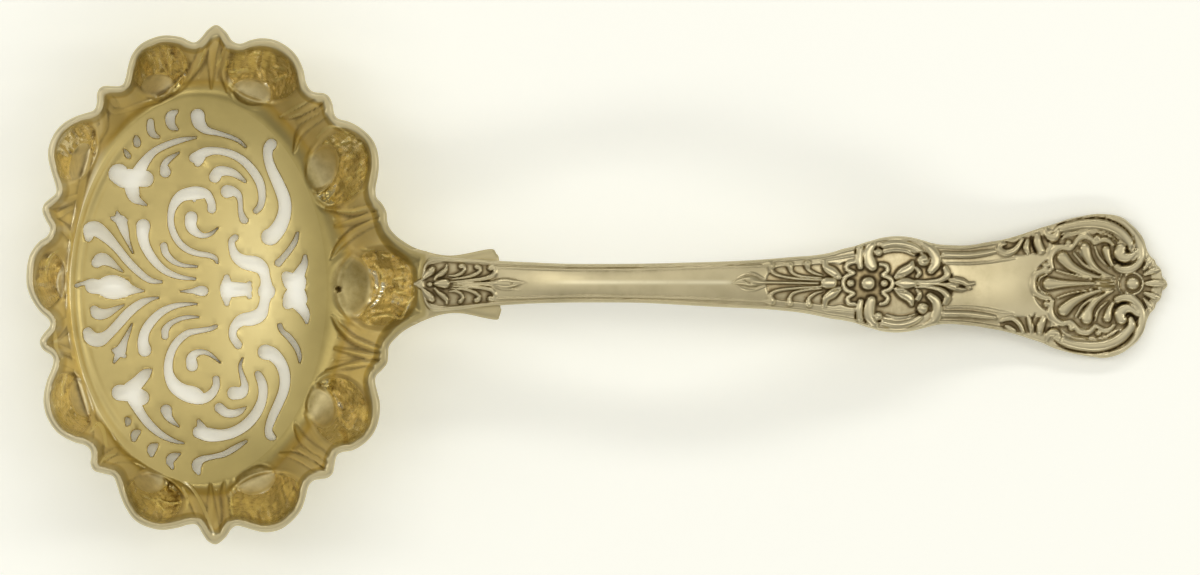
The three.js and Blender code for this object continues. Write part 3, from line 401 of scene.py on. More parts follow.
# Broad raised forms of the handle: scroll bands, volutes, pearls, drops and leaves
FORM_PIXELS: tuple[Stroke, ...] = (
    ((1044.5, 229, 2), (1047, 235.5, 4.2), (1052.6, 237.4, 5), (1055.4, 233.6, 3.8)),
    ((1045, 340, 2), (1048.5, 333.5, 4.2), (1054, 333.6, 5), (1056.4, 337.4, 3.6)),
    ((434.8, 269.4, 3.4), (432.6, 272, 4.3), (428.6, 275.6, 3.2), (425, 279, 1.8)),
    ((436.8, 279.6, 1.6), (439, 276.2, 2.2), (444, 273.4, 3.5), (447.6, 270, 2.7), (448.9, 265.2, 1.3)),
    ((438, 283.6, 2.8), (442, 283.6, 4.4), (447, 283.7, 5.8)), ((431.8, 284.4, 3.1), (432.2, 284.4, 3.1)),
    ((434.4, 299.4, 3.2), (432, 296.4, 4.5), (428.4, 292.8, 3.2), (425, 289.4, 1.8)),
    ((437, 288.4, 1.7), (440.4, 292.4, 2.4), (445.4, 296, 3.3), (448.5, 299.6, 2.7), (448.6, 303.2, 1.4)),
    (
        (450.5, 275.8, 1), (457, 275.7, 1.8), (463, 273.2, 2.2), (466.4, 269.4, 2.1), (465, 265.8, 2.1),
        (462.4, 266.6, 2.9),
    ),
    (
        (454, 279.2, 1), (466, 277.6, 1.6), (475, 275.2, 2.2), (481.2, 271.6, 2.3), (481.5, 267.6, 2.1),
        (478.2, 267, 3.1),
    ),
    (
        (455, 281.7, 1), (470, 280.6, 1.8), (485, 278.8, 2.5), (494, 275.6, 3), (496.6, 270.6, 2.7),
        (494.4, 266.8, 2.6), (491.8, 268.2, 3.5),
    ),
    ((451.5, 291.4, 1), (457.5, 291.2, 1.7), (462.6, 293.6, 2.1), (464.6, 297.8, 2.1), (462.2, 301, 2.9)),
    (
        (454, 288.4, 1), (465, 289.2, 1.6), (474, 291.4, 2.2), (480, 295.2, 2.3), (480.7, 299.4, 2),
        (477.8, 300, 3.1),
    ),
    (
        (455, 286.2, 1), (470, 287, 1.6), (484, 288, 2.2), (492.6, 290, 2.5), (496, 294.4, 2.3),
        (495.2, 299, 2), (491.6, 298.4, 3.5),
    ),
    (
        (455, 284, 1), (480, 283.7, 1.9), (492, 283.4, 2.4), (501, 283.2, 4.8), (508, 283.5, 5.6),
        (516, 283.2, 3.7), (524.5, 282.5, 1),
    ),
    (
        (731, 283, 1), (740, 281.5, 4), (749, 281.5, 5.6), (757, 282.5, 3), (766, 282.5, 1.7),
        (815, 283.3, 1.4),
    ),
    (
        (762, 264.5, 1.6), (768, 265.2, 4.2), (769, 271, 2.6), (776, 275.5, 2), (795, 278.8, 1.6),
        (818, 280, 1),
    ),
    ((783, 265, 1.6), (787, 265.6, 3.8), (789, 272, 2.2), (797, 276, 1.7), (818, 278, 1)),
    ((804.5, 264.5, 4.2), (806, 270, 2.2), (812, 273.5, 1.7), (819, 275.5, 1)),
    ((762, 301, 1.6), (769, 301.5, 4), (768, 295, 2.6), (775, 290.5, 2), (795, 288, 1.6), (818, 286.5, 1)),
    ((787, 303, 3.6), (787, 297.5, 2.2), (792, 292.5, 1.8), (805, 289.8, 1.4), (818, 288.5, 1)),
    ((806, 304, 3.8), (806, 298.5, 2.2), (812, 293.5, 1.8), (819, 291.5, 1)),
    ((824, 283, 6.6), (829, 283, 6)),
    ((881, 245.5, 3.4), (890, 243.8, 3.7), (900, 244.2, 3.7), (911, 247, 3.4), (919, 252, 2.6)),
    ((881, 322.5, 3.4), (890, 324.5, 3.7), (900, 324.5, 3.7), (911, 321.5, 3.4), (918, 317, 2.6)),
    ((914, 268, 1.6), (918, 272.5, 1.7), (915, 277, 1.6)),
    ((915, 291, 1.6), (918.5, 295, 1.8), (916, 300, 1.6)),
    ((942, 255, 3.6), (965, 255.3, 3.6), (982, 253.5, 3.4), (993, 251.5, 2.6)),
    ((942, 313.8, 3.6), (965, 314.2, 3.6), (982, 316, 3.4), (993, 317.5, 2.6)),
    (
        (1049.5, 236, 5.09), (1052, 233, 4.66), (1060, 228.6, 4.45), (1068, 226.4, 4.66),
        (1082, 223.8, 5.09), (1098, 223.8, 5.51), (1112, 227.4, 5.51), (1123, 234.5, 5.3),
        (1129.5, 243, 4.66), (1130, 249, 3.18),
    ),
    (
        (1053, 334, 5.09), (1056, 337.5, 4.66), (1068, 343, 4.66), (1082, 345.8, 5.09), (1098, 346.2, 5.51),
        (1112, 342.6, 5.51), (1123, 335.5, 5.3), (1130.5, 326, 4.66), (1130, 319, 3.18),
    ),
    ((1044, 265.5, 3.6), (1045, 265.5, 3.6)), ((1067, 242.5, 3.2), (1067.5, 242.5, 3.2)),
    ((1096, 238, 3.4), (1096.5, 238, 3.4)), ((1045, 304, 3.6), (1045.5, 304, 3.6)),
    ((1070, 328, 3.4), (1070.5, 328, 3.4)), ((1097, 333, 3.2), (1097.5, 333, 3.2)),
    ((821.8, 261.5, 2.25), (823.6, 268, 4.25), (830, 272, 5.25), (836, 277, 3.5)),
    ((821.4, 306, 2.25), (823.6, 298, 4.25), (830, 293.4, 5.25), (836, 289, 3.25)),
    (
        (852, 262, 2.6), (845, 264, 2.8), (844, 269.3, 2.5), (851, 273, 2.1), (843.6, 276.4, 2.7),
        (840.4, 283.2, 2.5), (843.6, 290, 2.7), (851, 293.4, 2.1), (845, 297.9, 2.5), (845.9, 303.2, 2.8),
        (852, 304, 2.6),
    ),
    ((847.4, 283.2, 4.2), (848, 283.2, 4.2)), ((857.5, 249, 3.8), (856.6, 260, 4.2), (857.5, 267, 3.4)),
    ((857.5, 318, 3.8), (856.6, 309, 4.2), (858, 301.5, 3.4)),
    ((869, 246, 4.8), (865, 253, 5.76), (867, 262, 6.72), (869.6, 266.6, 5.52)),
    ((871.6, 323, 4.56), (867, 316, 5.76), (867, 307, 6.24), (868.6, 300.4, 5.28)),
    ((875.6, 252.9, 4.2), (876, 253, 4.2)), ((875.6, 315.4, 4.2), (876, 315.6, 4.2)),
    ((865, 283.4, 7.4), (865.6, 283.4, 7.4)),
    (
        (877.6, 264.4, 2.2), (883.4, 265.7, 2.5), (885, 271, 2.4), (880, 275.2, 2.2), (887.6, 278.4, 2.5),
        (890, 283.5, 2.4), (887.4, 289, 2.5), (880, 292, 2.2), (885, 297, 2.4), (883.4, 302.3, 2.5),
        (878, 304, 2.2),
    ),
    ((881.2, 283.4, 4), (881.8, 283.4, 4)),
    ((910, 262.6, 2.34), (907.4, 268, 5.2), (899.6, 272.6, 5.46), (894, 277, 3.12)),
    ((909.4, 304.4, 2.34), (907, 298, 5.2), (900, 293.6, 5.46), (894, 289.4, 3.12)),
    ((895, 283.2, 3), (903, 283.3, 6.4), (911, 283.5, 4)),
    ((914, 268, 2), (917, 272.9, 2.8), (914.4, 276.6, 1.8)),
    ((914.6, 298.6, 2), (917.4, 294, 2.8), (914.6, 290, 1.8)), ((920.6, 260.6, 6.6), (921.4, 260.6, 6.6)),
    ((920, 308.2, 6.4), (920.8, 308.4, 6.4)),
    ((921, 244.8, 2.4), (927.4, 248.4, 4.6), (932.8, 256, 5.8), (933.2, 264, 5.8), (928.6, 270.6, 4.6)),
    ((924, 325, 2.4), (932, 320.4, 4.8), (935, 311, 5.8), (933.6, 301.6, 5.6), (927.6, 296, 4.2)),
    ((913, 281, 1.4), (925, 281.4, 2), (938, 280, 3), (945, 275, 4.2), (943, 268.4, 3.4)),
    ((913, 287, 1.4), (925, 287, 2), (938, 289.8, 3), (945, 296, 4.2), (943, 302.6, 3.4)),
    (
        (913.8, 284, 1.4), (934, 284, 1.6), (943, 284.8, 2.6), (950.4, 286.3, 4.8), (957, 289, 3),
        (960, 290.6, 1.6),
    ),
    ((948, 280, 2.2), (954, 280.2, 3.6), (960, 281.6, 3.6), (965.6, 284.4, 2.8), (972, 283.2, 1.6)),
    ((961, 289.4, 1.8), (968, 287.6, 2.2)), ((1036, 236, 3.6), (1036.6, 243.5, 5), (1039.7, 250.4, 4.8)),
    ((1026, 241, 2.6), (1024.8, 248, 3.8), (1026.6, 252.6, 2.6)),
    (
        (1021, 239.8, 2), (1013.6, 249.6, 3.6), (1004.6, 253.2, 4.2), (998.4, 250.2, 3.8),
        (998.7, 245.6, 2.8), (1003.6, 244, 2),
    ),
    ((1004.9, 240, 1.3), (1012.3, 241, 2.2), (1019.4, 237, 1.5)),
    ((1042.6, 318.2, 3.2), (1039.7, 324.4, 4.8), (1038.5, 331, 4)),
    ((1027, 317.4, 2.6), (1029, 324.4, 3.4), (1030, 331, 2.6)),
    ((1000, 320.6, 2), (1005, 318.8, 2.8), (1011.4, 318.6, 3), (1018, 324, 3), (1021.6, 331.4, 2.4)),
    ((1004.6, 326, 2), (1008, 327.4, 2.8), (1012.6, 330.4, 2.6)),
    ((1120, 248.6, 6.2), (1118.6, 254, 6.6), (1124, 257.8, 5.8), (1131.6, 256.6, 5), (1136, 252.6, 4)),
    ((1120.6, 319.2, 6.2), (1119, 313.4, 6.4), (1124, 308.6, 5.6), (1131, 308.6, 5), (1136.4, 313.4, 4)),
    (
        (1110, 217.6, 2.4), (1119, 220.8, 3), (1126.5, 226, 3.6), (1133, 233.4, 4.2), (1138.4, 243, 4.8),
        (1140.6, 252, 4.4), (1140, 259, 4), (1135.6, 265.6, 4.6), (1128.6, 269.4, 5), (1120.5, 269.6, 4.6),
        (1116, 267.2, 4.4),
    ),
    (
        (1110, 353.8, 2.4), (1119, 351.4, 3), (1128, 346.4, 3.7), (1136, 337, 4.4), (1140.6, 326, 4.8),
        (1141.4, 314, 4.4), (1139, 306.4, 4.2), (1134, 300.6, 4.6), (1128, 297.8, 4.8), (1121, 297.8, 4.4),
        (1116.4, 299.6, 4.4),
    ),
    ((1047.8, 283.8, 7.26), (1059.6, 283.8, 4.84), (1074.5, 283.6, 3.08), (1092, 283.4, 1.98)),
    ((1061.6, 257.8, 6.84), (1070.4, 266.6, 5.24), (1083, 273, 3.65), (1098, 277.4, 1.82)),
    (
        (1083.9, 248.5, 6.16), (1087, 258, 5.02), (1093.2, 266.8, 3.65), (1101.9, 273, 2.28),
        (1112, 277, 1.14),
    ),
    ((1105, 249.8, 4.84), (1106.9, 257.2, 3.74), (1110.6, 264.4, 2.42)),
    ((1062.7, 310, 6.9), (1071.6, 302.2, 5.29), (1083.2, 296, 3.68), (1098.2, 290.6, 1.84)),
    (
        (1085.7, 319, 6.27), (1088.2, 309.5, 4.7), (1094.4, 301.4, 3.58), (1103, 295.4, 2.24),
        (1112, 291, 1.12),
    ),
    ((1106.2, 318, 5.06), (1108, 310.4, 3.52), (1111.6, 303.4, 2.2)),
    ((1131.5, 283.6, 7.2), (1132, 283.6, 7.2)),
    ((1146, 283.4, 3), (1154.6, 283.2, 4.6), (1162, 283.6, 2.8)),
    ((1144, 274.4, 2.2), (1151.6, 270.8, 3.8), (1157, 268.8, 2.8)),
    ((1143, 269.4, 1.6), (1147.6, 263, 3), (1150.6, 258.4, 2.2)),
    ((1144.2, 293, 2.2), (1152, 296, 3.8), (1158, 298, 2.6)),
    ((1143, 298.6, 1.6), (1148, 305, 3), (1151, 309.6, 2)),
)

# Thin raised lines of the handle: threads along the edges, reeds and the frames of the flutes
LINE_PIXELS: tuple[Stroke, ...] = (
    (
        (418.5, 283.5, 1.2), (423.8, 278.5, 1.2), (425.8, 273, 1.5), (427.6, 266, 1.7), (432, 261.4, 1.8),
        (438, 259.8, 1.8), (450, 260.2, 1.8), (465, 261, 1.8), (483, 261.8, 1.8), (502, 263.3, 1.8),
        (530, 264.6, 1.8), (565, 266, 1.8), (600, 266.2, 1.8), (640, 266, 1.8), (685, 265, 1.8),
        (725, 263.8, 1.8), (760, 261.9, 1.8), (791, 259.3, 1.8), (810, 257.9, 1.8), (828, 255, 1.8),
        (840, 251.6, 1.8), (852, 248.8, 1.8),
    ),
    (
        (418.5, 284.5, 1.2), (423.8, 290, 1.2), (425.8, 295, 1.5), (428, 302, 1.7), (432.5, 307.4, 1.8),
        (438, 309, 1.8), (450, 308.2, 1.8), (465, 306.6, 1.8), (483, 304.6, 1.8), (502, 303, 1.8),
        (530, 301.4, 1.8), (565, 300.4, 1.8), (600, 300.2, 1.8), (640, 300.6, 1.8), (685, 302.8, 1.8),
        (725, 305, 1.8), (760, 306.5, 1.8), (791, 309.3, 1.8), (810, 312.2, 1.8), (828, 316, 1.8),
        (840, 317.7, 1.8), (852, 320.2, 1.8),
    ),
    (
        (498, 267.6, 1.4), (530, 268.8, 1.5), (565, 269.8, 1.5), (600, 270, 1.5), (650, 269.4, 1.5),
        (700, 267.8, 1.5), (740, 266.8, 1.5), (764, 266, 1.5),
    ),
    (
        (498, 298.7, 1.4), (530, 297.6, 1.5), (565, 296.6, 1.5), (600, 296.4, 1.5), (650, 297.1, 1.5),
        (700, 298.7, 1.5), (740, 300.3, 1.5), (766, 301.5, 1.5),
    ),
    ((735, 278.5, 0.8), (745, 274, 1.2), (752, 274, 1.2), (762, 279.5, 0.8)),
    ((735, 286, 0.8), (745, 290, 1.2), (753, 290, 1), (763, 286, 0.8)),
    ((460, 284.8, 0.8), (490, 285.5, 1), (503, 288.5, 1.8), (520, 290, 0.8)),
    ((453, 282, 0.8), (475, 282.4, 0.8)), ((818, 261, 1), (835, 258.5, 1.2), (852, 255.5, 1.2)),
    ((822, 310, 1), (838, 311.5, 1.2), (852, 313, 1.2)),
    ((881, 253, 1.1), (892, 251, 1.2), (903, 252, 1.2), (912, 255.5, 1)),
    ((884, 314.5, 1.1), (894, 317, 1.2), (904, 316.5, 1.2), (912, 314, 1)),
    (
        (858, 244, 1.8), (866, 242.2, 2), (880, 239.6, 2), (894, 238.6, 2), (907, 239.4, 2),
        (920, 242.2, 2), (932, 246, 1.8), (940, 247, 1.8), (963, 247.7, 1.9), (984, 244.7, 1.9),
        (1000, 242.2, 1.8),
    ),
    (
        (858, 324, 1.8), (866, 326, 2), (880, 329, 2), (894, 330, 2), (907, 329.2, 2), (920, 326.4, 2),
        (932, 323.2, 1.8), (940, 321.8, 1.8), (963, 322.7, 1.9), (984, 325.5, 1.9), (1000, 328.2, 1.8),
    ),
    ((945, 263.5, 1), (965, 263.8, 1.1), (985, 262.5, 1.1), (1000, 260.5, 1), (1014, 258.5, 0.7)),
    ((945, 306.8, 1), (965, 306.5, 1.1), (985, 308.5, 1.1), (998, 311, 1), (1012, 313, 0.7)),
    (
        (1048, 225.4, 1.6), (1068, 219.3, 1.8), (1082, 216.4, 1.8), (1094, 215.2, 1.8), (1104, 215.6, 1.8),
        (1113, 217.6, 2),
    ),
    (
        (1048, 345.6, 1.6), (1068, 352.4, 1.8), (1082, 355.4, 1.8), (1094, 356.6, 1.8), (1104, 356.4, 1.8),
        (1113, 354, 2),
    ),
    (
        (1060, 235, 1.2), (1075, 231.5, 1.3), (1090, 230.3, 1.4), (1104, 232.7, 1.4), (1113, 238, 1.2),
        (1118, 243.5, 1),
    ),
    ((1060, 334, 1.2), (1075, 338, 1.3), (1090, 339.5, 1.3), (1104, 338, 1.2), (1114, 333, 1)),
    (
        (1048, 271, 2.8), (1042, 271, 3.5), (1034, 275.5, 3.64), (1031.5, 284, 3.64), (1034, 292, 3.64),
        (1042, 297, 3.5), (1048, 298, 2.8),
    ),
    ((1046, 274.4, 1), (1039, 278, 1.2), (1037, 284, 1.2), (1039, 290, 1.2), (1046, 294, 1)),
    (
        (1051, 268, 2.76), (1049, 259, 3.45), (1053, 250.5, 3.59), (1060, 247, 3.45), (1069, 248.5, 2.76),
        (1073, 245, 2.48), (1077, 239.3, 3.45), (1084, 236.3, 3.45), (1090, 238.6, 3.04), (1093.5, 243, 2.48),
        (1098, 241.6, 2.48), (1103, 239.6, 3.04), (1108, 241, 2.76), (1112, 245, 2.07),
    ),
    (
        (1051, 301, 2.76), (1049.5, 311, 3.45), (1053.5, 319, 3.59), (1061, 323.5, 3.45), (1069, 322, 2.76),
        (1074, 326, 2.76), (1078, 331, 3.45), (1086, 332.6, 3.45), (1091, 329.6, 3.04), (1094.5, 326, 2.48),
        (1099, 328, 2.48), (1104, 330.6, 3.04), (1109, 329, 2.76), (1113, 325, 2.07),
    ),
    ((1056, 270.5, 1.4), (1070, 274.5, 1.4), (1090, 278.5, 1)),
    ((1072.5, 253, 1.4), (1083, 264.5, 1.6), (1098, 273.4, 1)),
    ((1077, 251, 1), (1086, 261.5, 1.2), (1100, 270.5, 0.9)),
    ((1094, 247, 1.4), (1098, 257, 1.6), (1108, 267.5, 1)),
    ((1057, 297.5, 1.4), (1070, 293, 1.4), (1090, 289.5, 1)),
    ((1075, 316, 1.4), (1082, 305, 1.6), (1096, 296, 1)),
    ((1079, 317.5, 1), (1086, 307, 1.2), (1099, 298.4, 0.9)),
    ((1094.5, 320, 1.4), (1097.5, 310, 1.6), (1108, 300, 1)),
    (
        (1125.1, 275.1, 1.3), (1131.5, 273, 1.3), (1137.9, 275.1, 1.3), (1141.6, 280.4, 1.3),
        (1141.6, 286.8, 1.3), (1137.9, 292.1, 1.3), (1131.5, 294.2, 1.3), (1125.1, 292.1, 1.3),
    ),
    ((1121, 274.6, 1), (1118.4, 279, 1.2), (1117.6, 284, 1.2), (1118.4, 289, 1.2), (1121, 292.6, 1)),
    ((1090, 280, 0.8), (1114, 280.8, 0.8)), ((1090, 284.2, 0.8), (1114, 284, 0.8)),
    ((1090, 288, 0.8), (1114, 286.8, 0.8)), ((1099, 276, 0.8), (1114, 277.6, 0.7)),
    ((1099, 292, 0.8), (1114, 290, 0.7)),
)

# Cuts in the handle: spirals of the volutes, slits, veins and drilled pits
CUT_PIXELS: tuple[Stroke, ...] = (
    ((1057, 228.4, 0.7), (1060.4, 234, 1.2), (1058.4, 240.8, 1.3), (1051, 243.6, 1.1), (1046, 240.6, 0.7)),
    ((1058.6, 342, 0.7), (1061, 336, 1.2), (1058.6, 329.4, 1.3), (1052, 327, 1.1), (1046.6, 329.6, 0.7)),
    ((512, 283.5, 1.3), (513, 283.5, 1.3)), ((742, 280, 0.8), (748, 282.5, 1.5)),
    ((895, 275.6, 1.2), (903, 274.4, 1.2)), ((895.5, 290.8, 1.3), (904, 292.2, 1.2)),
    ((914, 256, 0.9), (919, 252.6, 0.9), (924.5, 254.5, 0.9), (926, 260, 0.8), (921.5, 262, 0.7)),
    ((914, 311, 0.9), (919, 315, 0.9), (924.5, 312.5, 0.9), (925.4, 307.5, 0.8), (921.5, 306, 0.7)),
    ((872, 250, 0.9), (875, 247, 0.9), (880, 249.5, 0.8)),
    ((871.5, 317, 0.9), (873.5, 320.8, 1), (878, 321, 0.8)),
    ((861, 305, 0.9), (860, 314, 0.9), (863, 322, 0.9)), ((861.5, 247, 0.9), (861, 262, 0.9)),
    ((1132.5, 236, 1), (1133, 244, 1), (1129, 250.5, 1), (1124, 250, 0.9)),
    ((1113, 259, 0.9), (1120, 263.6, 0.9), (1129, 261.6, 0.9), (1136, 254, 0.8)),
    ((1136.5, 326, 1), (1134, 317.5, 1), (1128, 313.8, 1), (1124, 316.4, 0.9)),
    ((1113, 308, 0.9), (1120, 303.6, 0.9), (1129, 304.4, 0.9), (1136, 311, 0.8)),
    (
        (1051, 230.6, 0.9), (1058, 224.8, 0.9), (1068, 222, 0.9), (1082, 219, 1), (1098, 218.4, 1),
        (1112, 221.4, 1), (1124, 228.8, 1), (1131, 237, 0.9),
    ),
    (
        (1060, 237, 0.8), (1068, 232.8, 1), (1082, 230.6, 1), (1098, 230.8, 1), (1110, 234.4, 1),
        (1118, 240.8, 0.9),
    ),
    (
        (1053, 340.4, 0.9), (1060, 346.2, 0.9), (1070, 350, 0.9), (1086, 352.4, 1), (1100, 352.2, 1),
        (1112, 349, 1), (1124, 342.2, 1), (1132, 333, 0.9),
    ),
    (
        (1062, 333.6, 0.8), (1072, 337.8, 1), (1086, 339.6, 1), (1100, 339.2, 1), (1111, 335.6, 1),
        (1118, 330.6, 0.9),
    ),
    ((1050, 233.5, 1), (1054, 232.8, 0.8)), ((1051, 338, 1), (1056, 334.6, 0.8)),
    ((835, 275, 0.9), (833, 276.6, 0.9)), ((830, 290.6, 0.9), (836, 289.8, 0.9)),
    ((1030, 236, 0.8), (1031.6, 246, 0.9), (1035, 254, 0.8)),
    ((1031, 332, 0.8), (1030.6, 322, 0.9), (1034, 314, 0.8)),
    ((955, 287, 0.8), (960, 286, 1), (966, 289.4, 0.8)), ((852.6, 248, 0.8), (852.6, 253.5, 0.8)),
    ((852.6, 312, 0.8), (852.6, 319, 0.8)),
)


class Datum(Enum):
    """What the tops of raised strokes are measured from."""

    FACE = "face"
    GROUND = "ground"


class Part(Enum):
    """The parts of the bowl's mesh, in the order of its points."""

    INSIDE = "inside"
    OUTSIDE = "outside"
    FLOOR = "floor"
    UNDERFLOOR = "underfloor"
    TANG = "tang"


def smooth(low: float, high: float, value: np.ndarray) -> np.ndarray:
    """A smooth step from 0 at low to 1 at high, which can be the lesser value."""
    t = np.clip((value - low) / (high - low), 0, 1)
    return t * t * (3 - 2 * t)


def hump(value: np.ndarray, centre: float, width: float, power: int = 2) -> np.ndarray:
    """A hump, 1 at its centre and about a third at its width: a bell, or flat on top with power 4."""
    return np.exp(-(((value - centre) / width) ** power))


def rounded(share: np.ndarray) -> np.ndarray:
    """Height of a full, round stroke at a distance given as a share of its half width."""
    return np.clip(1 - np.minimum(share, 1) ** 2, 0, 1) ** 0.6


def spanned(points: np.ndarray, steps: int) -> np.ndarray:
    """Places along the smooth line through all points but the first and the last, which only steer it.

    Args:
        points: Rows of numbers.
        steps: Steps to each span.

    Returns:
        Rows of as many numbers, up to the last span's end but without it.
    """
    before, start, stop, after = points[:-3, None], points[1:-2, None], points[2:-1, None], points[3:, None]
    t = (np.arange(steps) / steps)[None, :, None]
    curve = 0.5 * (
        2 * start + (stop - before) * t + (2 * before - 5 * start + 4 * stop - after) * t**2
        + (3 * start - before - 3 * stop + after) * t**3
    )
    return curve.reshape(-1, points.shape[1])


def walk(stroke: Stroke, steps: int) -> np.ndarray:
    """Places along a smooth line through a stroke's points.

    Args:
        stroke: Places with their half widths.
        steps: Steps to each span.

    Returns:
        Rows of x, y and half width.
    """
    given = np.array(stroke, float)
    steered = np.vstack([2 * given[0] - given[1], given, 2 * given[-1] - given[-2]])
    return np.vstack([spanned(steered, steps), given[-1:]])


def reach(line: np.ndarray, at: np.ndarray) -> tuple[np.ndarray, np.ndarray, np.ndarray]:
    """How far places lie from a line of varying half width.

    Args:
        line: Rows of x, y and half width.
        at: Rows of x and y.

    Returns:
        The least distance as a share of the half width, the least distance less the half width, and
        the half width at the nearest point.
    """
    share = np.full(len(at), FAR)
    gap = np.full(len(at), FAR)
    width = np.full(len(at), LEAST_HALF_PIXELS)
    for (x0, y0, r0), (x1, y1, r1) in zip(line[:-1], line[1:]):
        along = np.array([x1 - x0, y1 - y0])
        length = max(float(along @ along), TINY)
        t = np.clip(((at[:, 0] - x0) * along[0] + (at[:, 1] - y0) * along[1]) / length, 0, 1)
        far = np.hypot(at[:, 0] - x0 - t * along[0], at[:, 1] - y0 - t * along[1])
        half = np.maximum(r0 + (r1 - r0) * t, LEAST_HALF_PIXELS)
        width = np.where(far / half < share, half, width)
        share = np.minimum(share, far / half)
        gap = np.minimum(gap, far - half)
    return share, gap, width


def padded(values: np.ndarray, before: int, after: int, axis: int) -> np.ndarray:
    """An array with the first and the last row along an axis repeated."""
    return np.concatenate([values.take([0] * before, axis), values, values.take([-1] * after, axis)], axis)


@dataclass
class Relief:
    """Heights in millimetres over the plan, on an even raster of the photograph's pixels.

    Attributes:
        low: Lowest x and y.
        high: Highest x and y.
        step: Pixels between raster points.
        walk_steps: Steps to each span of a stroke.
        ground_slope: Pixels over which the edge of a cleared ground falls.
        values: The heights.
        ground: The heights that later strokes stand on.
    """

    low: Pair
    high: Pair
    step: float = 0.5
    walk_steps: int = 6
    ground_slope: float = 1.6
    values: np.ndarray = field(init=False)
    ground: np.ndarray = field(init=False)

    def __post_init__(self) -> None:
        """Lays out the raster, all at height zero."""
        self.xs = np.arange(self.low[0], self.high[0] + self.step, self.step)
        self.ys = np.arange(self.low[1], self.high[1] + self.step, self.step)
        self.values = np.zeros((len(self.ys), len(self.xs)))
        self.ground = self.values.copy()

    def _touched(self, strokes: Sequence[Stroke]) -> Iterator[Touched]:
        """Goes through strokes, each with the part of the raster that it can touch.

        Args:
            strokes: The strokes, in order.

        Returns:
            For each stroke the part's rows and columns and, over the part, the distance as a share of the
            half width, the distance less the half width, and the half width.
        """
        for stroke in strokes:
            line = walk(stroke, self.walk_steps)
            margin = line[:, 2].max() + self.step
            x0, x1 = np.searchsorted(self.xs, [line[:, 0].min() - margin, line[:, 0].max() + margin])
            y0, y1 = np.searchsorted(self.ys, [line[:, 1].min() - margin, line[:, 1].max() + margin])
            xs, ys = np.meshgrid(self.xs[x0:x1], self.ys[y0:y1])
            found = reach(line, np.stack([xs.ravel(), ys.ravel()], 1))
            share, gap, half = (values.reshape(xs.shape) for values in found)
            yield (slice(y0, y1), slice(x0, x1)), share, gap, half

    def sink(self, strokes: Sequence[Stroke], depth: float) -> None:
        """Cuts round-bottomed strokes down from the heights so far, to a depth in millimetres."""
        for part, share, _, _ in self._touched(strokes):
            self.values[part] -= depth * rounded(share)

    def clear(self, strokes: Sequence[Stroke], depth: float) -> None:
        """Cuts flat grounds, without cutting deeper where strokes overlap.

        Args:
            strokes: The strokes that fill the grounds.
            depth: Depth in millimetres.
        """
        floor = np.zeros(self.values.shape)
        for part, _, gap, _ in self._touched(strokes):
            floor[part] = np.minimum(floor[part], -depth * smooth(0, self.ground_slope, -gap))
        self.values += floor

    def settle(self) -> None:
        """Takes the heights so far as the ground that later strokes stand on."""
        self.ground = self.values.copy()

    def lift(self, strokes: Sequence[Stroke], height: float, slope: float, datum: Datum) -> None:
        """Raises round strokes over the ground, where overlapping strokes keep the higher.

        Args:
            strokes: The strokes to raise.
            height: Most height, in millimetres.
            slope: Height for each pixel of half width, up to the most.
            datum: What the tops are measured from.
        """
        for part, share, _, half in self._touched(strokes):
            rise = np.minimum(height, slope * half) * rounded(share)
            foot = smooth(0.7, 1, share) if datum is Datum.FACE else 1
            top = self.ground[part] * foot + rise
            here = self.values[part]
            self.values[part] = np.where(share < 1, np.maximum(here, top), here)

    def _points_in(self, radius: float) -> int:
        """Raster points in a distance in pixels, at least one."""
        return max(1, int(round(radius / self.step)))

    def blurred(self, radius: float) -> np.ndarray:
        """The heights averaged over a square, twice over.

        Args:
            radius: Half the square's side, in pixels.

        Returns:
            An array of the raster's shape.
        """
        size = self._points_in(radius)
        blur = self.values
        for _ in range(2):
            for axis in (0, 1):
                total = padded(blur, size + 1, size, axis).cumsum(axis)
                span = blur.shape[axis]
                ahead = total.take(range(2 * size + 1, 2 * size + 1 + span), axis)
                behind = total.take(range(0, span), axis)
                blur = (ahead - behind) / (2 * size + 1)
        return blur

    def hollows(self, radius: float, depth: float) -> np.ndarray:
        """How hidden each place is between higher ones near it.

        Args:
            radius: How far higher ground counts, in pixels.
            depth: Depth in millimetres that counts as wholly hidden.

        Returns:
            An array of the raster's shape, from 0 in the open to 1.
        """
        size = self._points_in(radius)
        cover = Relief(self.low, self.high, self.step)
        cover.values = self.values
        for axis in (0, 1):
            wide = padded(cover.values, size, size, axis)
            span = cover.values.shape[axis]
            shifted = [wide.take(range(k, k + span), axis) for k in range(2 * size + 1)]
            cover.values = np.maximum.reduce(shifted)
        return np.clip((cover.blurred(radius * 0.7) - self.values) / depth, 0, 1)

    def sample(self, values: np.ndarray, at: np.ndarray) -> np.ndarray:
        """Values between the raster's points.

        Args:
            values: An array of the raster's shape.
            at: Rows of x and y in pixels.

        Returns:
            A value for each row.
        """
        x = np.clip((at[:, 0] - self.xs[0]) / self.step, 0, len(self.xs) - 1.001)
        y = np.clip((at[:, 1] - self.ys[0]) / self.step, 0, len(self.ys) - 1.001)
        i, j = x.astype(int), y.astype(int)
        fx, fy = x - i, y - j
        top = values[j, i] * (1 - fx) + values[j, i + 1] * fx
        low = values[j + 1, i] * (1 - fx) + values[j + 1, i + 1] * fx
        return top * (1 - fy) + low * fy


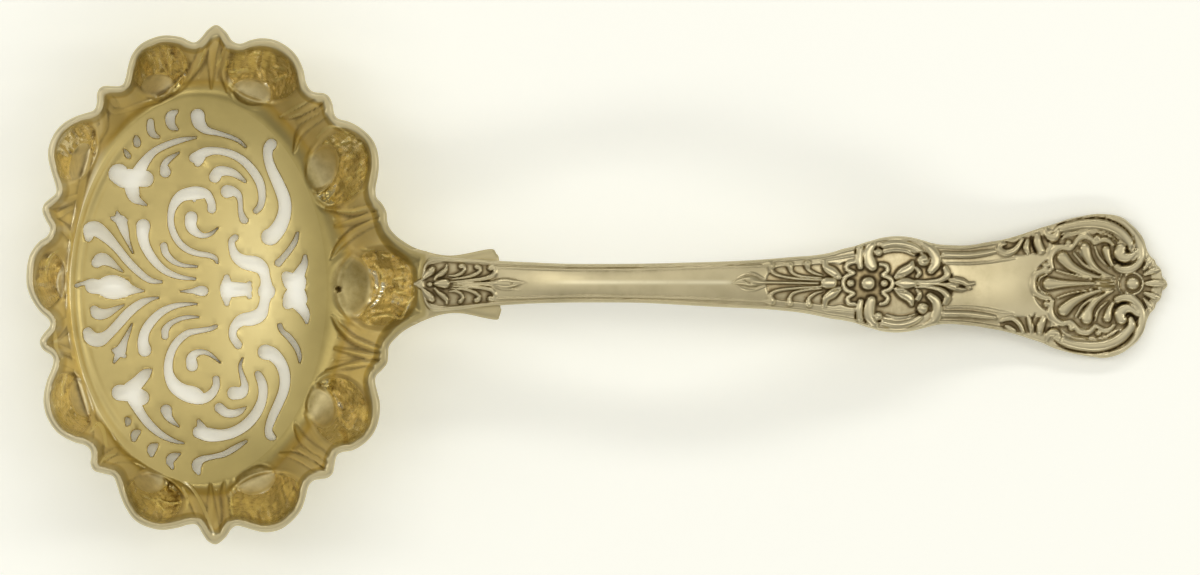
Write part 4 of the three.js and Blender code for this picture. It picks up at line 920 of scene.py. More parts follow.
@dataclass(frozen=True)
class Plan:
    """Turns pixels of the photograph into places on the table, in metres."""

    left: float
    scale: float

    @classmethod
    def over(cls, low: Vector, high: Vector) -> "Plan":
        """The plan that fits the spoon's pixels to its box."""
        return cls(low.x, (high.x - low.x) / (SPOON_RIGHT_PIXEL - SPOON_LEFT_PIXEL))

    def place(self, at: np.ndarray, heights: np.ndarray) -> np.ndarray:
        """Puts places of the photograph on the table.

        Args:
            at: Rows of x and y in pixels.
            heights: Their heights in millimetres.

        Returns:
            Rows of x, y and z in metres.
        """
        x = self.left + (at[:, 0] - SPOON_LEFT_PIXEL) * self.scale
        y = (AXIS_PIXEL - at[:, 1]) * self.scale
        return np.stack([x, y, heights * MM], 1)

    @property
    def pixel(self) -> float:
        """Millimetres to a pixel."""
        return self.scale / MM


def make_piece(name: str, points: np.ndarray, faces: Faces, node: str) -> bpy.types.Object:
    """Makes a smooth mesh piece that stands for a CAD node.

    Args:
        name: The piece's name.
        points: Rows of x, y, z in metres.
        faces: Corner numbers of each face.
        node: The CAD node that it stands for.

    Returns:
        The new object.
    """
    mesh = bpy.data.meshes.new(name)
    mesh.from_pydata(points.tolist(), [], [tuple(int(c) for c in face) for face in faces])
    mesh.validate()
    mesh.shade_smooth()
    mesh.set_sharp_from_angle(angle=math.radians(SHARP_DEGREES))
    piece = bpy.data.objects.new(name, mesh)
    bpy.context.scene.collection.objects.link(piece)
    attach(piece, "root")
    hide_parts(node)
    log.info("%s: %d points, %d faces", name, len(mesh.vertices), len(mesh.polygons))
    return piece


def set_attribute(piece: bpy.types.Object, name: str, values: np.ndarray) -> None:
    """Stores one number for each point of a piece."""
    attribute = piece.data.attributes.new(name, "FLOAT", "POINT")
    attribute.data.foreach_set("value", values.astype(np.float32))


def ring_faces(rows: int, columns: int, start: int = 0) -> Faces:
    """Faces between rows of points, each row closed on itself.

    Args:
        rows: Number of rows.
        columns: Points in a row.
        start: Number of the first point.

    Returns:
        Four corner numbers for each face.
    """
    return [
        (
            start + r * columns + c,
            start + r * columns + (c + 1) % columns,
            start + (r + 1) * columns + (c + 1) % columns,
            start + (r + 1) * columns + c,
        )
        for r in range(rows - 1)
        for c in range(columns)
    ]


def bar_faces(rows: int, columns: int) -> Faces:
    """Faces of a closed bar, with its two ends.

    Args:
        rows: Number of cross sections.
        columns: Points in a cross section.

    Returns:
        Corner numbers of each face.
    """
    faces = [face[::-1] for face in ring_faces(rows, columns)]
    faces.append(tuple(range(columns)))
    faces.append(tuple(range((rows - 1) * columns, rows * columns))[::-1])
    return faces


@dataclass(frozen=True)
class Socket:
    """A number in a shader, on which Python's operators add Math nodes."""

    shader: "Shader"
    out: bpy.types.NodeSocket

    def _math(self, operation: str, *values: object) -> "Socket":
        """One Math node."""
        return self.shader.node("ShaderNodeMath", {"operation": operation}, dict(enumerate(values)))

    def __add__(self, other: object) -> "Socket":
        """Sum."""
        return self._math("ADD", self, other)

    __radd__ = __add__

    def __mul__(self, other: object) -> "Socket":
        """Product."""
        return self._math("MULTIPLY", self, other)

    __rmul__ = __mul__

    def __sub__(self, other: object) -> "Socket":
        """Difference."""
        return self._math("SUBTRACT", self, other)

    def __rsub__(self, other: object) -> "Socket":
        """Difference from a number."""
        return self._math("SUBTRACT", other, self)

    def between(self, low: float, high: float) -> "Socket":
        """A smooth 0 to 1 as the value goes from low to high."""
        inputs = {"Value": self, "From Min": low, "From Max": high}
        return self.shader.node("ShaderNodeMapRange", {"interpolation_type": "SMOOTHSTEP"}, inputs)


class Shader:
    """A material whose nodes are added one by one."""

    def __init__(self, name: str) -> None:
        """Starts an empty material.

        Args:
            name: The material's name.
        """
        self.material = bpy.data.materials.new(name)
        self.material.use_nodes = True
        self.tree = self.material.node_tree
        self.tree.nodes.clear()

    def node(self, kind: str, settings: dict, inputs: dict, out: str | int = 0) -> Socket:
        """Adds one node.

        Args:
            kind: The node's type.
            settings: Properties that are set first.
            inputs: Values or links by socket name or number.
            out: The output wanted.

        Returns:
            The output as a socket.
        """
        made = self.tree.nodes.new(kind)
        for key, value in settings.items():
            setattr(made, key, value)
        for key, value in inputs.items():
            if isinstance(value, Socket):
                self.tree.links.new(value.out, made.inputs[key])
            else:
                made.inputs[key].default_value = value
        return Socket(self, made.outputs[out])

    def mix(self, share: object, first: object, second: object) -> Socket:
        """A colour between two."""
        return self.node("ShaderNodeMix", {"data_type": "RGBA"}, {0: share, 6: first, 7: second}, 2)

    def noise(self, where: Socket, grain: Pair) -> Socket:
        """Soft noise over the piece, of a grain given as scale and detail."""
        inputs = {"Vector": where, "Scale": grain[0], "Detail": grain[1], "Roughness": 0.55}
        return self.node("ShaderNodeTexNoise", {}, inputs)

    def attribute(self, name: str) -> Socket:
        """A number stored on the mesh."""
        return self.node("ShaderNodeAttribute", {"attribute_name": name}, {}, "Fac")

    def place(self) -> Socket:
        """Object coordinates."""
        return self.node("ShaderNodeTexCoord", {}, {}, "Object")

    def finish(self, last: Socket) -> bpy.types.Material:
        """Links the last shader to the output.

        Args:
            last: The last shader.

        Returns:
            The material.
        """
        output = self.tree.nodes.new("ShaderNodeOutputMaterial")
        self.tree.links.new(last.out, output.inputs["Surface"])
        return self.material

    def metal(self, colour: Socket, rough: Socket, height: Socket, bump: Pair) -> bpy.types.Material:
        """Ends the material as bare metal.

        Args:
            colour: The metal's colour.
            rough: Its roughness.
            height: Fine heights of its surface.
            bump: Strength of these heights and their size in metres.

        Returns:
            The material.
        """
        inputs = {"Height": height, "Strength": bump[0], "Distance": bump[1]}
        normal = self.node("ShaderNodeBump", {}, inputs)
        inputs = {"Base Color": colour, "Roughness": rough, "Metallic": 1.0, "Normal": normal}
        return self.finish(self.node("ShaderNodeBsdfPrincipled", {}, inputs))


@dataclass(frozen=True)
class SilverFinish:
    """Polished antique silver, dark where polish doesn't reach and where shade is painted on, light where it
    is rubbed and where highlights are painted. Grains are scale and detail of a noise.
    """

    name: str = "antique_silver"
    bright: Colour = (0.565, 0.492, 0.3, 1)
    dull: Colour = (0.475, 0.411, 0.245, 1)
    # Colour where wear and painted highlights lighten the metal
    rubbed: Colour = (0.97, 0.90, 0.64, 1)
    shade: Colour = (0.25, 0.195, 0.10, 1)
    tarnish: Colour = (0.085, 0.058, 0.024, 1)
    roughness: float = 0.22
    patch_grain: Pair = (160, 5)
    fine_grain: Pair = (1400, 4)
    scratch_grain: Pair = (420, 3)
    scratch_turn: tuple[float, float, float] = (0, 0, 0.5)
    scratch_scale: tuple[float, float, float] = (1, 14, 6)
    bump: Pair = (0.12, 0.00004)

    def material(self) -> bpy.types.Material:
        """Builds the material from the stored hollows and fine noise.

        Returns:
            The material.
        """
        shader = Shader(self.name)
        where = shader.place()
        hollow = shader.attribute("hollow")
        patch = shader.noise(where, self.patch_grain)
        fine = shader.noise(where, self.fine_grain)
        turned = {"Vector": where, "Rotation": self.scratch_turn, "Scale": self.scratch_scale}
        scratch = shader.noise(shader.node("ShaderNodeMapping", {}, turned), self.scratch_grain)
        metal = shader.mix(patch.between(0.35, 0.7), self.bright, self.dull)
        # Wear and painted highlights, such as the stem's ridge, lighten the metal
        lit = shader.attribute("rubbed") * (patch.between(0.3, 0.6) * 0.4 + 0.6)
        metal = shader.mix(lit, metal, self.rubbed)
        # Tarnish in the hollows, with the painted shade that the handle adds to this mask
        wear_and_light = hollow + (fine - 0.5) * 0.3
        film_and_shade = shader.mix(wear_and_light.between(0.08, 0.6), metal, self.shade)
        dark = wear_and_light.between(0.45, 1.0)
        colour = shader.mix(dark, film_and_shade, self.tarnish)
        rough = self.roughness + patch * 0.1 + scratch * 0.08 + dark * 0.3
        return shader.metal(colour, rough, scratch * 0.6 + fine * 0.4, self.bump)


@dataclass(frozen=True)
class GiltFinish:
    """Worn gilding inside the bowl, with bare silver at the rim, painted shade, a painted glow on the floor
    and painted glints. Grains are scale and detail of a noise.
    """

    name: str = "worn_gilding"
    wall: Colour = (0.92, 0.81, 0.51, 1)
    floor: Colour = (0.80, 0.64, 0.25, 1)
    # Colour of the painted glow on the floor
    bright: Colour = (0.97, 0.82, 0.38, 1)
    deep: Colour = (0.88, 0.735, 0.41, 1)
    # Colour of a dull film, also used for painted shade
    film_and_shade: Colour = (0.34, 0.27, 0.095, 1)
    silver: Colour = (0.80, 0.72, 0.49, 1)
    # Colour of the painted glints and of rubbed wear
    rubbed: Colour = (1.0, 0.92, 0.62, 1)
    tarnish: Colour = (0.16, 0.10, 0.03, 1)
    roughness: float = 0.33
    patch_grain: Pair = (70, 6)
    cloud_grain: Pair = (210, 4)
    fine_grain: Pair = (900, 5)
    speck_grain: Pair = (1500, 3)
    bump: Pair = (0.3, 0.00012)
    mask_names: tuple[str, ...] = ("gilt", "chased", "hollow", "glow", "shade", "oval", "fold")

    def material(self) -> bpy.types.Material:
        """Builds the material from the stored masks and noise.

        Returns:
            The material.
        """
        shader = Shader(self.name)
        where = shader.place()
        gilt, chased, hollow, glow, shade, oval, fold = (shader.attribute(name) for name in self.mask_names)
        patch = shader.noise(where, self.patch_grain)
        cloud = shader.noise(where, self.cloud_grain)
        fine = shader.noise(where, self.fine_grain)
        speck = shader.noise(where, self.speck_grain)
        gold = shader.mix(chased * 0.75 + patch.between(0.5, 0.8) * 0.25, self.wall, self.deep)
        gold = shader.mix(shade.between(0.0, 0.3) * (1 - oval * 0.6), gold, self.floor)
        # Painted shade: the film colour darkens the floor, the wall's foot, the ovals and the rim as the
        # shade mask rises
        gold = shader.mix(shade + (cloud - 0.5) * 0.4 + oval * (fine - 0.5) * 0.7, gold, self.film_and_shade)
        # Painted glow: the floor's middle lightened as if lit
        gold = shader.mix(glow * (cloud.between(0.3, 0.7) * 0.3 + 0.7), gold, self.bright)
        metal = shader.mix(gilt, shader.mix(shade, self.silver, self.film_and_shade), gold)
        dark = (hollow + (fine - 0.5) * 0.2).between(0.2, 1.5)
        metal = shader.mix(dark + chased * speck.between(0.52, 0.3) * 0.45, metal, self.tarnish)
        # Painted glints: the raised folds and bright specks in the chased work are lightened toward a
        # highlight colour
        lit = fold.between(0.0, 0.6) + chased * speck.between(0.57, 0.68) * 0.7
        rough = self.roughness + cloud * 0.1 + dark * 0.2 - chased * 0.2 + oval * 0.12 - fold * 0.12
        height = fine * 0.2 + chased * fine * 1.2 + cloud * 0.5
        return shader.metal(shader.mix(lit, metal, self.rubbed), rough, height, self.bump)


@dataclass(frozen=True)
class SolderFinish:
    """Dull grey film of solder."""

    name: str = "solder_film"
    grey: Colour = (0.42, 0.39, 0.32, 1)
    dark: Colour = (0.14, 0.12, 0.09, 1)
    roughness: float = 0.35
    grain: Pair = (900, 4)
    bump: Pair = (0.3, 0.00005)

    def material(self) -> bpy.types.Material:
        """Builds the material from noise.

        Returns:
            The material.
        """
        shader = Shader(self.name)
        patch = shader.noise(shader.place(), self.grain)
        colour = shader.mix(patch.between(0.4, 0.7), self.grey, self.dark)
        return shader.metal(colour, patch * 0.3 + self.roughness, patch, self.bump)


@dataclass(frozen=True)
class Patch:
    """A soft patch, used for painted shade, painted glow and wear: strength, middle and half sizes in pixels,
    and its humps' power.
    """

    strength: float
    middle: Pair
    half: Pair
    power: int = 2

    def over(self, x: np.ndarray, y: np.ndarray) -> np.ndarray:
        """The patch's strength at places."""
        (cx, cy), (a, b) = self.middle, self.half
        return self.strength * hump(x, cx, a, self.power) * hump(y, cy, b, self.power)


@dataclass(frozen=True)
class Chasing:
    """The worked wall: its relief, and on the same raster the masks of its kinds of work and of its painted
    glints, from 0 to 1.
    """

    relief: Relief
    chased: np.ndarray
    oval: np.ndarray
    hollow: np.ndarray
    fold: np.ndarray


@dataclass(frozen=True)
class Wall:
    """The inside of the wall.

    Attributes:
        points: Rows of x, y, z in metres.
        at: Their places in pixels.
        from_rim: Their distances from the rim, in pixels.
        down: The way down the wall, from 0 to 1.
        fade: Share of the relief that each keeps.
    """

    points: np.ndarray
    at: np.ndarray
    from_rim: np.ndarray
    down: np.ndarray
    fade: np.ndarray


@dataclass(frozen=True)
class Floor:
    """Flat triangles of the pierced floor.

    Attributes:
        at: Places in pixels.
        triangles: Corner numbers.
        gap: Each place's distance from the nearest piercing, in pixels.
    """

    at: np.ndarray
    triangles: np.ndarray
    gap: np.ndarray


@dataclass
class Bowl:
    """The raised, scalloped and pierced bowl with its tang.

    Lengths are in millimetres unless named pixels. Shares of an oval are 1 on its outline. A pair is where a
    step starts and ends, or a hump's middle and width. A texture is the size of its grains round the bowl
    and along its radii, in pixels, and its weight: dashes, blobs and grit.
    """

    plan: Plan
    depth: float = 14.0
    sheet: float = 1.0
    dish: float = 0.55
    rim_steps: int = 10
    rim_centre_pixel: Pair = (217, AXIS_PIXEL)
    rim_half_pixels: Pair = (182, 248)
    flange_pixels: float = 6.4
    neck_flange_pixels: float = 4.0
    neck_across_pixels: Pair = (285, 24)
    neck_start_pixels: Pair = (372, 404)
    lip_drop: float = 0.32
    lip_pixels: float = 3.2
    lip_edge_drop: float = 0.14
    lip_edge_pixels: float = 0.9
    lip_end_pixels: Pair = (412, 424)
    fade_pixels: float = 8
    fade_lead_pixels: float = 2.5
    fade_foot_share: float = 0.17
    floor_centre_pixel: Pair = (199.0, 290.0)
    floor_half_pixels: Pair = (128.0, 191.0)
    columns: int = 900
    inside_near_pixels: tuple[float, ...] = (0, 0.35, 0.9, 1.8, 3, 4.4, 5.8, 7.2, 8.6)
    inside_rows: int = 56
    outside_near_pixels: tuple[float, ...] = (0, 0.35, *np.linspace(0.9, 7.2, 4))
    outside_rows: int = 12
    wall_skew: float = 0.62
    rim_thickness: float = 0.5
    rim_drop: float = 0.3
    outside_bulge: float = 1.1
    bulge_shares: tuple[Pair, Pair] = ((0, 0.2), (1, 0.6))
    rim_sheet_pixels: float = 3
    outside_blur_pixels: float = 3
    outside_fade_pixels: Pair = (6, 12)
    outside_foot_share: float = 0.1
    soft_power: float = 8.0
    soft_sum: float = 0.982
    soft_pixels: Pair = (6, 14)
    batch: int = 4000
    hole_steps: int = 4
    hole_bands_pixels: tuple[float, ...] = (0.0, 0.45, 1.3)
    net_pixels: float = 7.0
    net_share: float = 0.87
    band_shares: tuple[float, float, float] = (0.88, 0.995, 0.013)
    hole_share: float = 0.995
    edge_share: float = 0.9985
    under_drop: float = 0.55
    join_pixels: float = 0.02
    least_area_pixels: float = 1e-5
    tang_thickness: float = 1.5
    tang_gap: float = 0.03
    tang_end_pixels: Pair = (484, 498)
    raster_pixels: tuple[Pair, Pair] = ((28, 22), (436, 547))
    seed: int = 7
    textures: tuple[tuple[float, float, float], ...] = ((3.4, 9.0, 1.0), (6.5, 7.5, 1.5), (1.5, 2.2, 0.35))
    texture_span_pixels: Pair = (1250, 420)
    texture_radius_pixels: float = 190
    oval: float = 0.74
    on_axis_pixels: float = 20
    scoop_depth: float = 0.75
    scoop_power: float = 0.75
    neck_lobe_calm: float = 0.5
    neck_lobe_start_pixels: Pair = (325, 340)
    neck_lobe_side_pixels: Pair = (62, 45)
    shell_step: float = 0.16
    shell_step_shares: Pair = (0.92, 1.0)
    shell_lip: float = 0.22
    shell_lip_shares: Pair = (1.05, 0.06)
    chased_shares: Pair = (0.84, 0.98)
    off_boss_shares: Pair = (1.0, 1.14)
    rib_height: float = 0.75
    rib_slope: float = 0.2
    boss_height: float = 0.3
    boss_dome: float = 0.2
    boss_edge_shares: Pair = (0.78, 1.12)
    boss_ring: float = 0.12
    boss_ring_shares: Pair = (1.22, 0.1)
    boss_tilt: float = 0.25
    bead_height: float = 0.16
    bead_groove: float = 0.7
    bead_shares: Pair = (0.955, 0.915)
    bead_half_share: float = 0.016
    bead_end_pixels: Pair = (150, 105)
    crumple_height: float = 0.14
    crease_depth: float = 0.22
    pit_depth: float = 1.1
    fold_height: float = 0.27
    fold_slope: float = 0.7
    hollow_reach: Pair = (2.0, 0.7)
    # A painted glow of light on the middle of the floor
    glow: Patch = Patch(1.0, (258, 285), (38, 110))

    def _rim(self) -> np.ndarray:
        """Lays even places round the rim.

        Returns:
            Rows of x and y in pixels.
        """
        given = np.array(RIM_PIXELS, float)
        curve = spanned(np.vstack([given[-1:], given, given[:2]]), self.rim_steps)
        around = np.vstack([curve, curve[:1]])
        length = np.concatenate([[0], np.cumsum(np.hypot(*np.diff(around, axis=0).T))])
        wanted = np.linspace(0, length[-1], self.columns, endpoint=False)
        return np.stack([np.interp(wanted, length, around[:, 0]), np.interp(wanted, length, around[:, 1])], 1)

    def _foot(self, rim: np.ndarray) -> np.ndarray:
        """Finds where the wall meets the floor.

        Args:
            rim: Places round the rim.

        Returns:
            The place on the floor's edge that each runs down to.
        """
        (left, axis), (wide, high) = self.rim_centre_pixel, self.rim_half_pixels
        angle = np.arctan2((rim[:, 1] - axis) / high, (rim[:, 0] - left) / wide)
        (cx, cy), (a, b) = self.floor_centre_pixel, self.floor_half_pixels
        return np.stack([cx + a * np.cos(angle), cy + b * np.sin(angle)], 1)

    def _rows(self, rim: np.ndarray, foot: np.ndarray, near: Sequence[float], count: int) -> np.ndarray:
        """Lays rows of places down the wall.

        Args:
            rim: Places round the rim.
            foot: The place on the floor's edge under each.
            near: Distances of the first rows from the rim, in pixels.
            count: Number of even rows from there to the floor.

        Returns:
            Rows of x and y in pixels, one turn round the bowl after the other.
        """
        run = np.hypot(*(foot - rim).T)
        first = near[-1] / run
        shares = [pixels / run for pixels in near]
        shares += [first + (1 - first) * (k / count) for k in range(1, count + 1)]
        return np.array([rim + (foot - rim) * share[:, None] for share in shares]).reshape(-1, 2)

    def _rim_distance(self, rim: np.ndarray, at: np.ndarray) -> np.ndarray:
        """Measures the distance to the rim, eased where two stretches of the rim are as near.

        The eased distance comes from a sum over all rim points, of their distances to a high power. Times the
        points' spacing, this sum is soft_sum for a long straight rim one pixel away.

        Args:
            rim: Places round the rim.
            at: Places to measure from.

        Returns:
            Distances in pixels.
        """
        line = np.vstack([rim, rim[:1]])
        best = np.full(len(at), FAR)
        for (x0, y0), (x1, y1) in zip(line[:-1], line[1:]):
            dx, dy = x1 - x0, y1 - y0
            t = np.clip(((at[:, 0] - x0) * dx + (at[:, 1] - y0) * dy) / max(dx * dx + dy * dy, TINY), 0, 1)
            best = np.minimum(best, (at[:, 0] - x0 - t * dx) ** 2 + (at[:, 1] - y0 - t * dy) ** 2)
        exact = np.sqrt(best)
        spacing = np.hypot(*(rim[1] - rim[0]))
        soft = np.empty(len(at))
        for start in range(0, len(at), self.batch):
            apart = at[start:start + self.batch, None, :] - rim[None]
            far = np.maximum(np.hypot(apart[..., 0], apart[..., 1]), 1)
            total = spacing / self.soft_sum * (far**-self.soft_power).sum(1)
            soft[start:start + self.batch] = total ** (-1 / (self.soft_power - 1))
        return exact + (soft - exact) * smooth(*self.soft_pixels, exact)

    def _floor_share(self, at: np.ndarray) -> np.ndarray:
        """Distance from the floor's centre, 1 at its edge."""
        (cx, cy), (a, b) = self.floor_centre_pixel, self.floor_half_pixels
        return np.hypot((at[:, 0] - cx) / a, (at[:, 1] - cy) / b)

    def _floor_height(self, at: np.ndarray) -> np.ndarray:
        """Shapes the dished floor, with a bead along its left edge.

        Args:
            at: Places in pixels.

        Returns:
            Heights of the upper face in millimetres.
        """
        share = self._floor_share(at)
        left = smooth(*self.bead_end_pixels, at[:, 0])
        rise, groove = (hump(share, middle, self.bead_half_share) for middle in self.bead_shares)
        bead = rise - self.bead_groove * groove
        return self.sheet + self.dish * np.clip(share, 0, 1) ** 2 + self.bead_height * left * bead

    def _crumple(self, xs: np.ndarray, ys: np.ndarray) -> np.ndarray:
        """Makes a beaten texture that is finer round the bowl than along its radii.

        Args:
            xs: Where to read it, in pixels.
            ys: The same, across the spoon.

        Returns:
            Heights of about 1.
        """
        rng = np.random.default_rng(self.seed)
        dx, dy = xs - self.floor_centre_pixel[0], (ys - AXIS_PIXEL) * self.oval
        around = (np.arctan2(dy, dx) + math.pi) * self.texture_radius_pixels
        out = np.hypot(dx, dy)
        total = np.zeros(xs.shape)
        for wide, high, weight in self.textures:
            span = self.texture_span_pixels
            lattice = rng.normal(size=(int(span[0] / wide) + 3, int(span[1] / high) + 3))
            u, v = around / wide, out / high
            i, j = u.astype(int), v.astype(int)
            fu, fv = smooth(0, 1, u - i), smooth(0, 1, v - j)
            low = lattice[i, j] * (1 - fu) + lattice[i + 1, j] * fu
            top = lattice[i, j + 1] * (1 - fu) + lattice[i + 1, j + 1] * fu
            total += weight * (low * (1 - fv) + top * fv)
        return total

    def _profile(self, at: np.ndarray, from_rim: np.ndarray) -> tuple[np.ndarray, np.ndarray, np.ndarray]:
        """Shapes the wall's section, from its flange down to the floor.

        Args:
            at: Places in pixels.
            from_rim: Their distances from the rim.

        Returns:
            The flange's width in pixels, the plain wall's height in millimetres, and the way down as a share.
        """
        share = np.maximum(self._floor_share(at), SMALL)
        away = np.hypot(at[:, 0] - self.floor_centre_pixel[0], at[:, 1] - self.floor_centre_pixel[1])
        from_foot = np.maximum(share - 1, 0) * (away / share)
        neck = hump(at[:, 1], *self.neck_across_pixels) * smooth(*self.neck_start_pixels, at[:, 0])
        flange = self.flange_pixels + self.neck_flange_pixels * neck
        down = np.clip((from_rim - flange) / np.maximum(from_rim + from_foot - flange, SMALL), 0, 1)
        floor = self.sheet + self.dish
        height = floor + (self.depth - floor) * ((1 + np.cos(np.pi * down**self.wall_skew)) / 2)
        return flange, height, down

    def _nearest_oval(
        self, table: Sequence[tuple[float, ...]], xs: np.ndarray, ys: np.ndarray,
    ) -> tuple[np.ndarray, np.ndarray]:
        """Measures how far places lie from the nearest of some turned ovals.

        Args:
            table: Centre, half sizes and turn in degrees of each oval.
            xs: The places, in pixels.
            ys: The same, across the spoon.

        Returns:
            The distance from the centre, 1 on the outline, and the millimetres from the centre toward
            the floor, which are 0 for an oval on the spoon's axis.
        """
        inward = np.stack([self.floor_centre_pixel[0] - xs, (self.floor_centre_pixel[1] - ys) * self.oval])
        inward /= np.hypot(*inward) + SMALL
        nearest = np.full(xs.shape, FAR)
        tilt = np.zeros(xs.shape)
        for cx, cy, a, b, turn in table:
            angle = math.radians(turn)
            dx, dy = xs - cx, ys - cy
            u = (dx * math.cos(angle) + dy * math.sin(angle)) / a
            v = (-dx * math.sin(angle) + dy * math.cos(angle)) / b
            share = np.hypot(u, v)
            off_axis = abs(cy - AXIS_PIXEL) > self.on_axis_pixels
            toward = (dx * inward[0] + dy * inward[1]) * self.plan.pixel * off_axis
            tilt = np.where(share < nearest, toward, tilt)
            nearest = np.minimum(nearest, share)
        return nearest, tilt

    def _chase(self) -> Chasing:
        """Works the wall: sunk shells, bosses, beaten texture, ribs, creases, the neck's pit and the folds.

        Returns:
            The relief and its masks.
        """
        relief = Relief(*self.raster_pixels)
        xs, ys = np.meshgrid(relief.xs, relief.ys)
        shell, _ = self._nearest_oval(SHELL_PIXELS, xs, ys)
        boss, tilt = self._nearest_oval(BOSS_PIXELS, xs, ys)
        beside = smooth(*self.neck_lobe_side_pixels, np.abs(ys - AXIS_PIXEL))
        calm = 1 - self.neck_lobe_calm * smooth(*self.neck_lobe_start_pixels, xs) * beside
        scoop = np.clip(1 - shell**2, 0, 1) ** self.scoop_power
        step = self.shell_step * (1 - smooth(*self.shell_step_shares, shell))
        relief.values -= calm * self.scoop_depth * scoop + step
        relief.values += self.shell_lip * hump(shell, *self.shell_lip_shares)
        dome = np.sqrt(np.clip(1 - np.minimum(boss, 1) ** 2, 0, 1))
        oval = 1 - smooth(*self.boss_edge_shares, boss)
        relief.values += oval * (calm * (self.boss_height + self.boss_dome * dome) + self.boss_tilt * tilt)
        relief.values += self.boss_ring * hump(boss, *self.boss_ring_shares)
        chased = (1 - smooth(*self.chased_shares, shell)) * smooth(*self.off_boss_shares, boss)
        relief.values += chased * self.crumple_height * self._crumple(xs, ys)
        relief.settle()
        relief.lift(RIB_PIXELS, self.rib_height, self.rib_slope, Datum.GROUND)
        relief.sink(CREASE_PIXELS, self.crease_depth)
        relief.sink((PIT_PIXELS,), self.pit_depth)
        hollow = relief.hollows(*self.hollow_reach)
        folds = Relief(*self.raster_pixels)
        folds.lift(FOLD_PIXELS, 1.0, self.fold_slope, Datum.GROUND)
        relief.values += self.fold_height * folds.values
        return Chasing(relief, chased, oval, hollow, folds.values)

    def _inside(self, rim: np.ndarray, foot: np.ndarray, relief: Relief) -> Wall:
        """Makes the inside of the wall.

        Args:
            rim: Places round the rim.
            foot: The place on the floor's edge under each.
            relief: The wall's relief.

        Returns:
            The wall.
        """
        at = self._rows(rim, foot, self.inside_near_pixels, self.inside_rows)
        from_rim = self._rim_distance(rim, at)
        flange, height, down = self._profile(at, from_rim)
        lip = self.lip_drop * smooth(self.lip_pixels, 0, from_rim)
        lip = lip + self.lip_edge_drop * smooth(self.lip_edge_pixels, 0, from_rim)
        lip = lip * (1 - smooth(*self.lip_end_pixels, at[:, 0]))
        fade = smooth(0, self.fade_pixels, from_rim - flange + self.fade_lead_pixels)
        fade = fade * smooth(0, self.fade_foot_share, 1 - down)
        lifted = height - lip + relief.sample(relief.values, at) * fade
        return Wall(self.plan.place(at, np.minimum(lifted, self.depth)), at, from_rim, down, fade)

    def _outside(self, rim: np.ndarray, foot: np.ndarray, relief: Relief) -> np.ndarray:
        """Makes the outside of the wall, a sheet's thickness behind the inside.

        Args:
            rim: Places round the rim.
            foot: The place on the floor's edge under each.
            relief: The wall's relief.

        Returns:
            Rows of x, y, z in metres.
        """
        at = self._rows(rim, foot, self.outside_near_pixels, self.outside_rows)
        from_rim = self._rim_distance(rim, at)
        _, height, down = self._profile(at, from_rim)
        upper, lower = (smooth(*shares, down) for shares in self.bulge_shares)
        steep = 1 + self.outside_bulge * upper * lower
        fade = smooth(0, self.rim_sheet_pixels, from_rim)
        thick = self.rim_thickness + (self.sheet * steep - self.rim_thickness) * fade
        lifted = height - thick - self.rim_drop * (1 - fade)
        soft = relief.sample(relief.blurred(self.outside_blur_pixels), at)
        soft = soft * smooth(*self.outside_fade_pixels, from_rim)
        return self.plan.place(at, lifted + soft * smooth(0, self.outside_foot_share, 1 - down))

    def _outline(self, line: np.ndarray, grow: float) -> np.ndarray:
        """Draws round a stroke, with round ends.

        Args:
            line: Rows of x, y and half width.
            grow: Pixels that the outline stands off.

        Returns:
            Rows of x and y.
        """
        along = np.gradient(line[:, :2], axis=0)
        along /= np.linalg.norm(along, axis=1)[:, None] + TINY
        side = np.stack([-along[:, 1], along[:, 0]], 1)
        half = (np.maximum(line[:, 2], LEAST_HALF_PIXELS) + grow)[:, None]
        turns = np.linspace(0, math.pi, 9)[1:-1, None]
        caps = [
            line[end, :2] + sign * (side[end] * np.cos(turns) + along[end] * np.sin(turns)) * half[end]
            for end, sign in ((-1, 1), (0, -1))
        ]
        return np.vstack([line[:, :2] + side * half, caps[0], (line[:, :2] - side * half)[::-1], caps[1]])

    def _loose_places(self, foot: np.ndarray) -> np.ndarray:
        """Spreads places over the floor and in bands along its edge.

        Args:
            foot: Places round the floor's edge.

        Returns:
            Rows of x and y in pixels.
        """
        (cx, cy), (a, b) = self.floor_centre_pixel, self.floor_half_pixels
        across, along = (np.arange(c - half, c + half, self.net_pixels) for c, half in ((cx, a), (cy, b)))
        xs, ys = np.meshgrid(across, along)
        net = np.stack([xs.ravel(), ys.ravel()], 1)
        centre, shares = np.array([cx, cy]), np.arange(*self.band_shares)
        bands = [centre + (foot[::3] - centre) * share for share in shares]
        return np.vstack([net[self._floor_share(net) < self.net_share], *bands])

